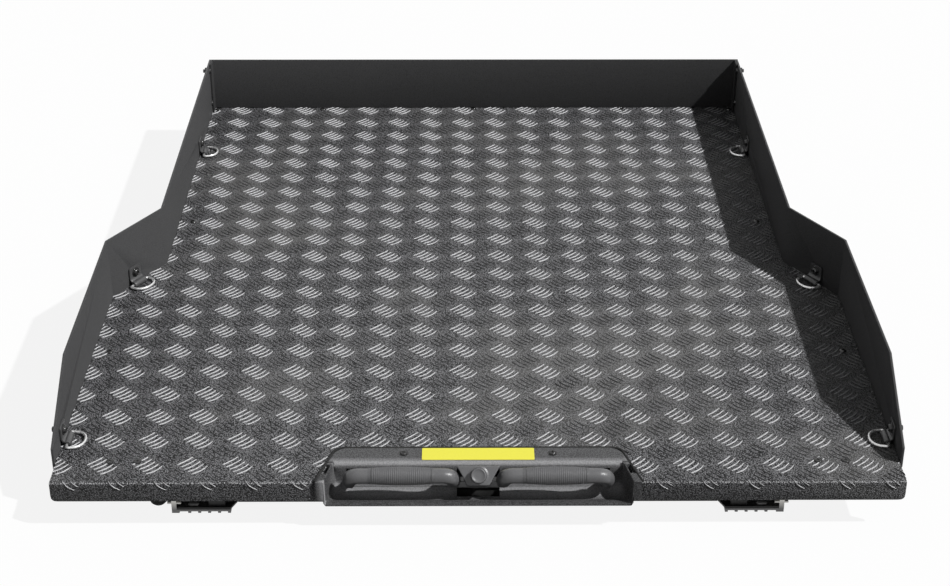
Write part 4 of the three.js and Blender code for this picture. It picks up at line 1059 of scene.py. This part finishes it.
def setOut(name, spots, part, seed, tilt=0.0, replaced=()):
    mesh = bpy.data.meshes.new(name)
    mesh.from_pydata([(x * mm, y * mm, z * mm) for x, y, z in spots], [], [])
    piece = grown(name, fastenerNodes, {
        "Fastener": part, "Tilt": (0.0, tilt, 0.0), "Seed": seed, "Finish": finishes["screw_black"]}, mesh)
    finishPiece(piece, "tray", replaced, 35)


parts = {name: headMesh(name, look) for name, look in heads.items()}
nutRings = [keyRings("hex", nut["faces"]), turnedRings(nut["stud"], upright, 24)]
cornerNut = skinned("corner_nut", nutRings, "zinc_steel", 35)
for name, look in screwSets.items():
    spots = [(x, y, look["height"]) for x, y in look["spots"]]
    setOut(name, spots, parts[look["head"]], look["seed"], replaced=look.get("replaced", ()))
for word, side in hands.items():
    for kind, part, lean in (("head", parts["button"], -1), ("nut", cornerNut, 1)):
        spots = [(side * cornerScrews[kind + "X"], y, z) for y, z in cornerScrews["spots"]]
        setOut(word + "_corner_" + kind + "s", spots, part, cornerScrews[kind + "Seed"], lean * side * pi / 2)
print("screws and bolts set out")

# tie-down brackets and bolts, drawn with x inward from the wall and z up from the deck
slant = 0.5434  # turn of the slanted walls
tieSpots = {"front": (550.3, -514.5, 0), "middle": (523.456, -71.443, slant), "rear": (483.3, 408, 0)}
strap = {"half": 13, "leg": 30, "plate": 2.5, "gap": 0.3, "barX": 8.2, "barZ": 3.5, "wrap": 4.55, "cornerRadius": 3.5,
         "drops": (0, 0.4, 1.2, 2.2, 3.5, 6, 9, 12, 15), "bendZ": 15, "pullZ": 9.8, "wrapFrom": 2.1,
         "wrapStep": 0.19, "edge": 0.35}
# (radius, distance from the wall) pairs
tieBolt = {"height": 20, "socket": [(2.4, 7.7), (2.4, 5.5)],
           "head": [(7.3, 2.9), (7.3, 3.9), (7, 4.2), (5.5, 4.2), (5.4, 5.2), (4.9, 6.5), (3.9, 7.4), (3.2, 7.7)],
           "washer": [(7.6, -3.4), (7.6, -4.6), (7.3, -4.8)], "stud": [(3.9, -8.5), (3.9, -11.2), (3.3, -11.8)],
           "nut": [(5.9, -4.8), (6.4, -5.3), (6.4, -8.3), (5.8, -8.8)]}


def roundBar(turn):
    return strap["barX"] + strap["wrap"] * cos(turn), strap["barZ"] + strap["wrap"] * sin(turn)


def strapLine():
    # middle of the bent strip: down the wall, over the ring's bar and down to the deck
    wallX = strap["gap"] + strap["plate"] / 2
    line = [(wallX, strap["leg"] - drop) for drop in strap["drops"]]
    bend = ((wallX, strap["bendZ"]), (wallX, strap["pullZ"]), roundBar(strap["wrapFrom"]))
    for k in range(1, 6):
        share = k / 6
        line.append(tuple(start * (1 - share) ** 2 + pull * 2 * share * (1 - share) + end * share ** 2
                          for start, pull, end in zip(*bend)))
    return line + [roundBar(strap["wrapFrom"] - k * strap["wrapStep"]) for k in range(13)]


def growStrap(name, place):
    look = strap
    line = strapLine()
    rings = []
    for i, (x, z) in enumerate(line):
        before, after = line[max(i - 1, 0)], line[min(i + 1, len(line) - 1)]
        along = Vector((after[0] - before[0], 0, after[1] - before[1])).normalized()
        outward = Vector((-along.z, 0, along.x)) * look["plate"] / 2
        drop = max(0.0, look["cornerRadius"] - (look["leg"] - z))
        half = look["half"] - look["cornerRadius"] + sqrt(max(0.0, look["cornerRadius"] ** 2 - drop ** 2))
        corners = ((-half, -1), (half, -1), (half, 1), (-half, 1))
        rings.append([place @ (Vector((x, y, z)) + outward * turn) for y, turn in corners])
    shape = bmesh.new()
    joinRings(shape, rings)
    bmesh.ops.recalc_face_normals(shape, faces=shape.faces)
    sharp = [edge for edge in shape.edges if edge.calc_face_angle(0) > 1.0]
    bmesh.ops.bevel(shape, geom=sharp, offset=look["edge"], segments=2, profile=0.5, affect="EDGES")
    return pieceOf(name, shape, finishes["bracket_coat"], 40)


def growTieBolt(name, place):
    look = tieBolt
    axis = place @ Matrix.Translation((0, 0, look["height"])) @ Matrix.Rotation(pi / 2, 4, "Y")
    head = turnedRings(look["head"], axis, around) + keyRings("hex", look["socket"], axis)
    ringSets = [head, turnedRings(look["washer"], axis, around), keyRings("hex", look["nut"], axis),
                turnedRings(look["stud"], axis, 24)]
    return skinned(name, ringSets, "screw_black", 35)


for word, side in hands.items():
    for spot, (x, y, turn) in tieSpots.items():
        turned = Matrix.Rotation(pi + turn if side > 0 else -turn, 4, "Z")
        place = Matrix.Translation((side * x, y, deckTop)) @ turned
        node = word + "_" + spot + "_tiedown_"
        for grow, made, solid in ((growStrap, "strap", "bracket"), (growTieBolt, "fixing", "bolt")):
            finishPiece(grow(node + made, place), bodyOf[node + solid], [node + solid])
print("tie-down points ready")

for part in (*parts.values(), cornerNut):
    bpy.data.objects.remove(part)
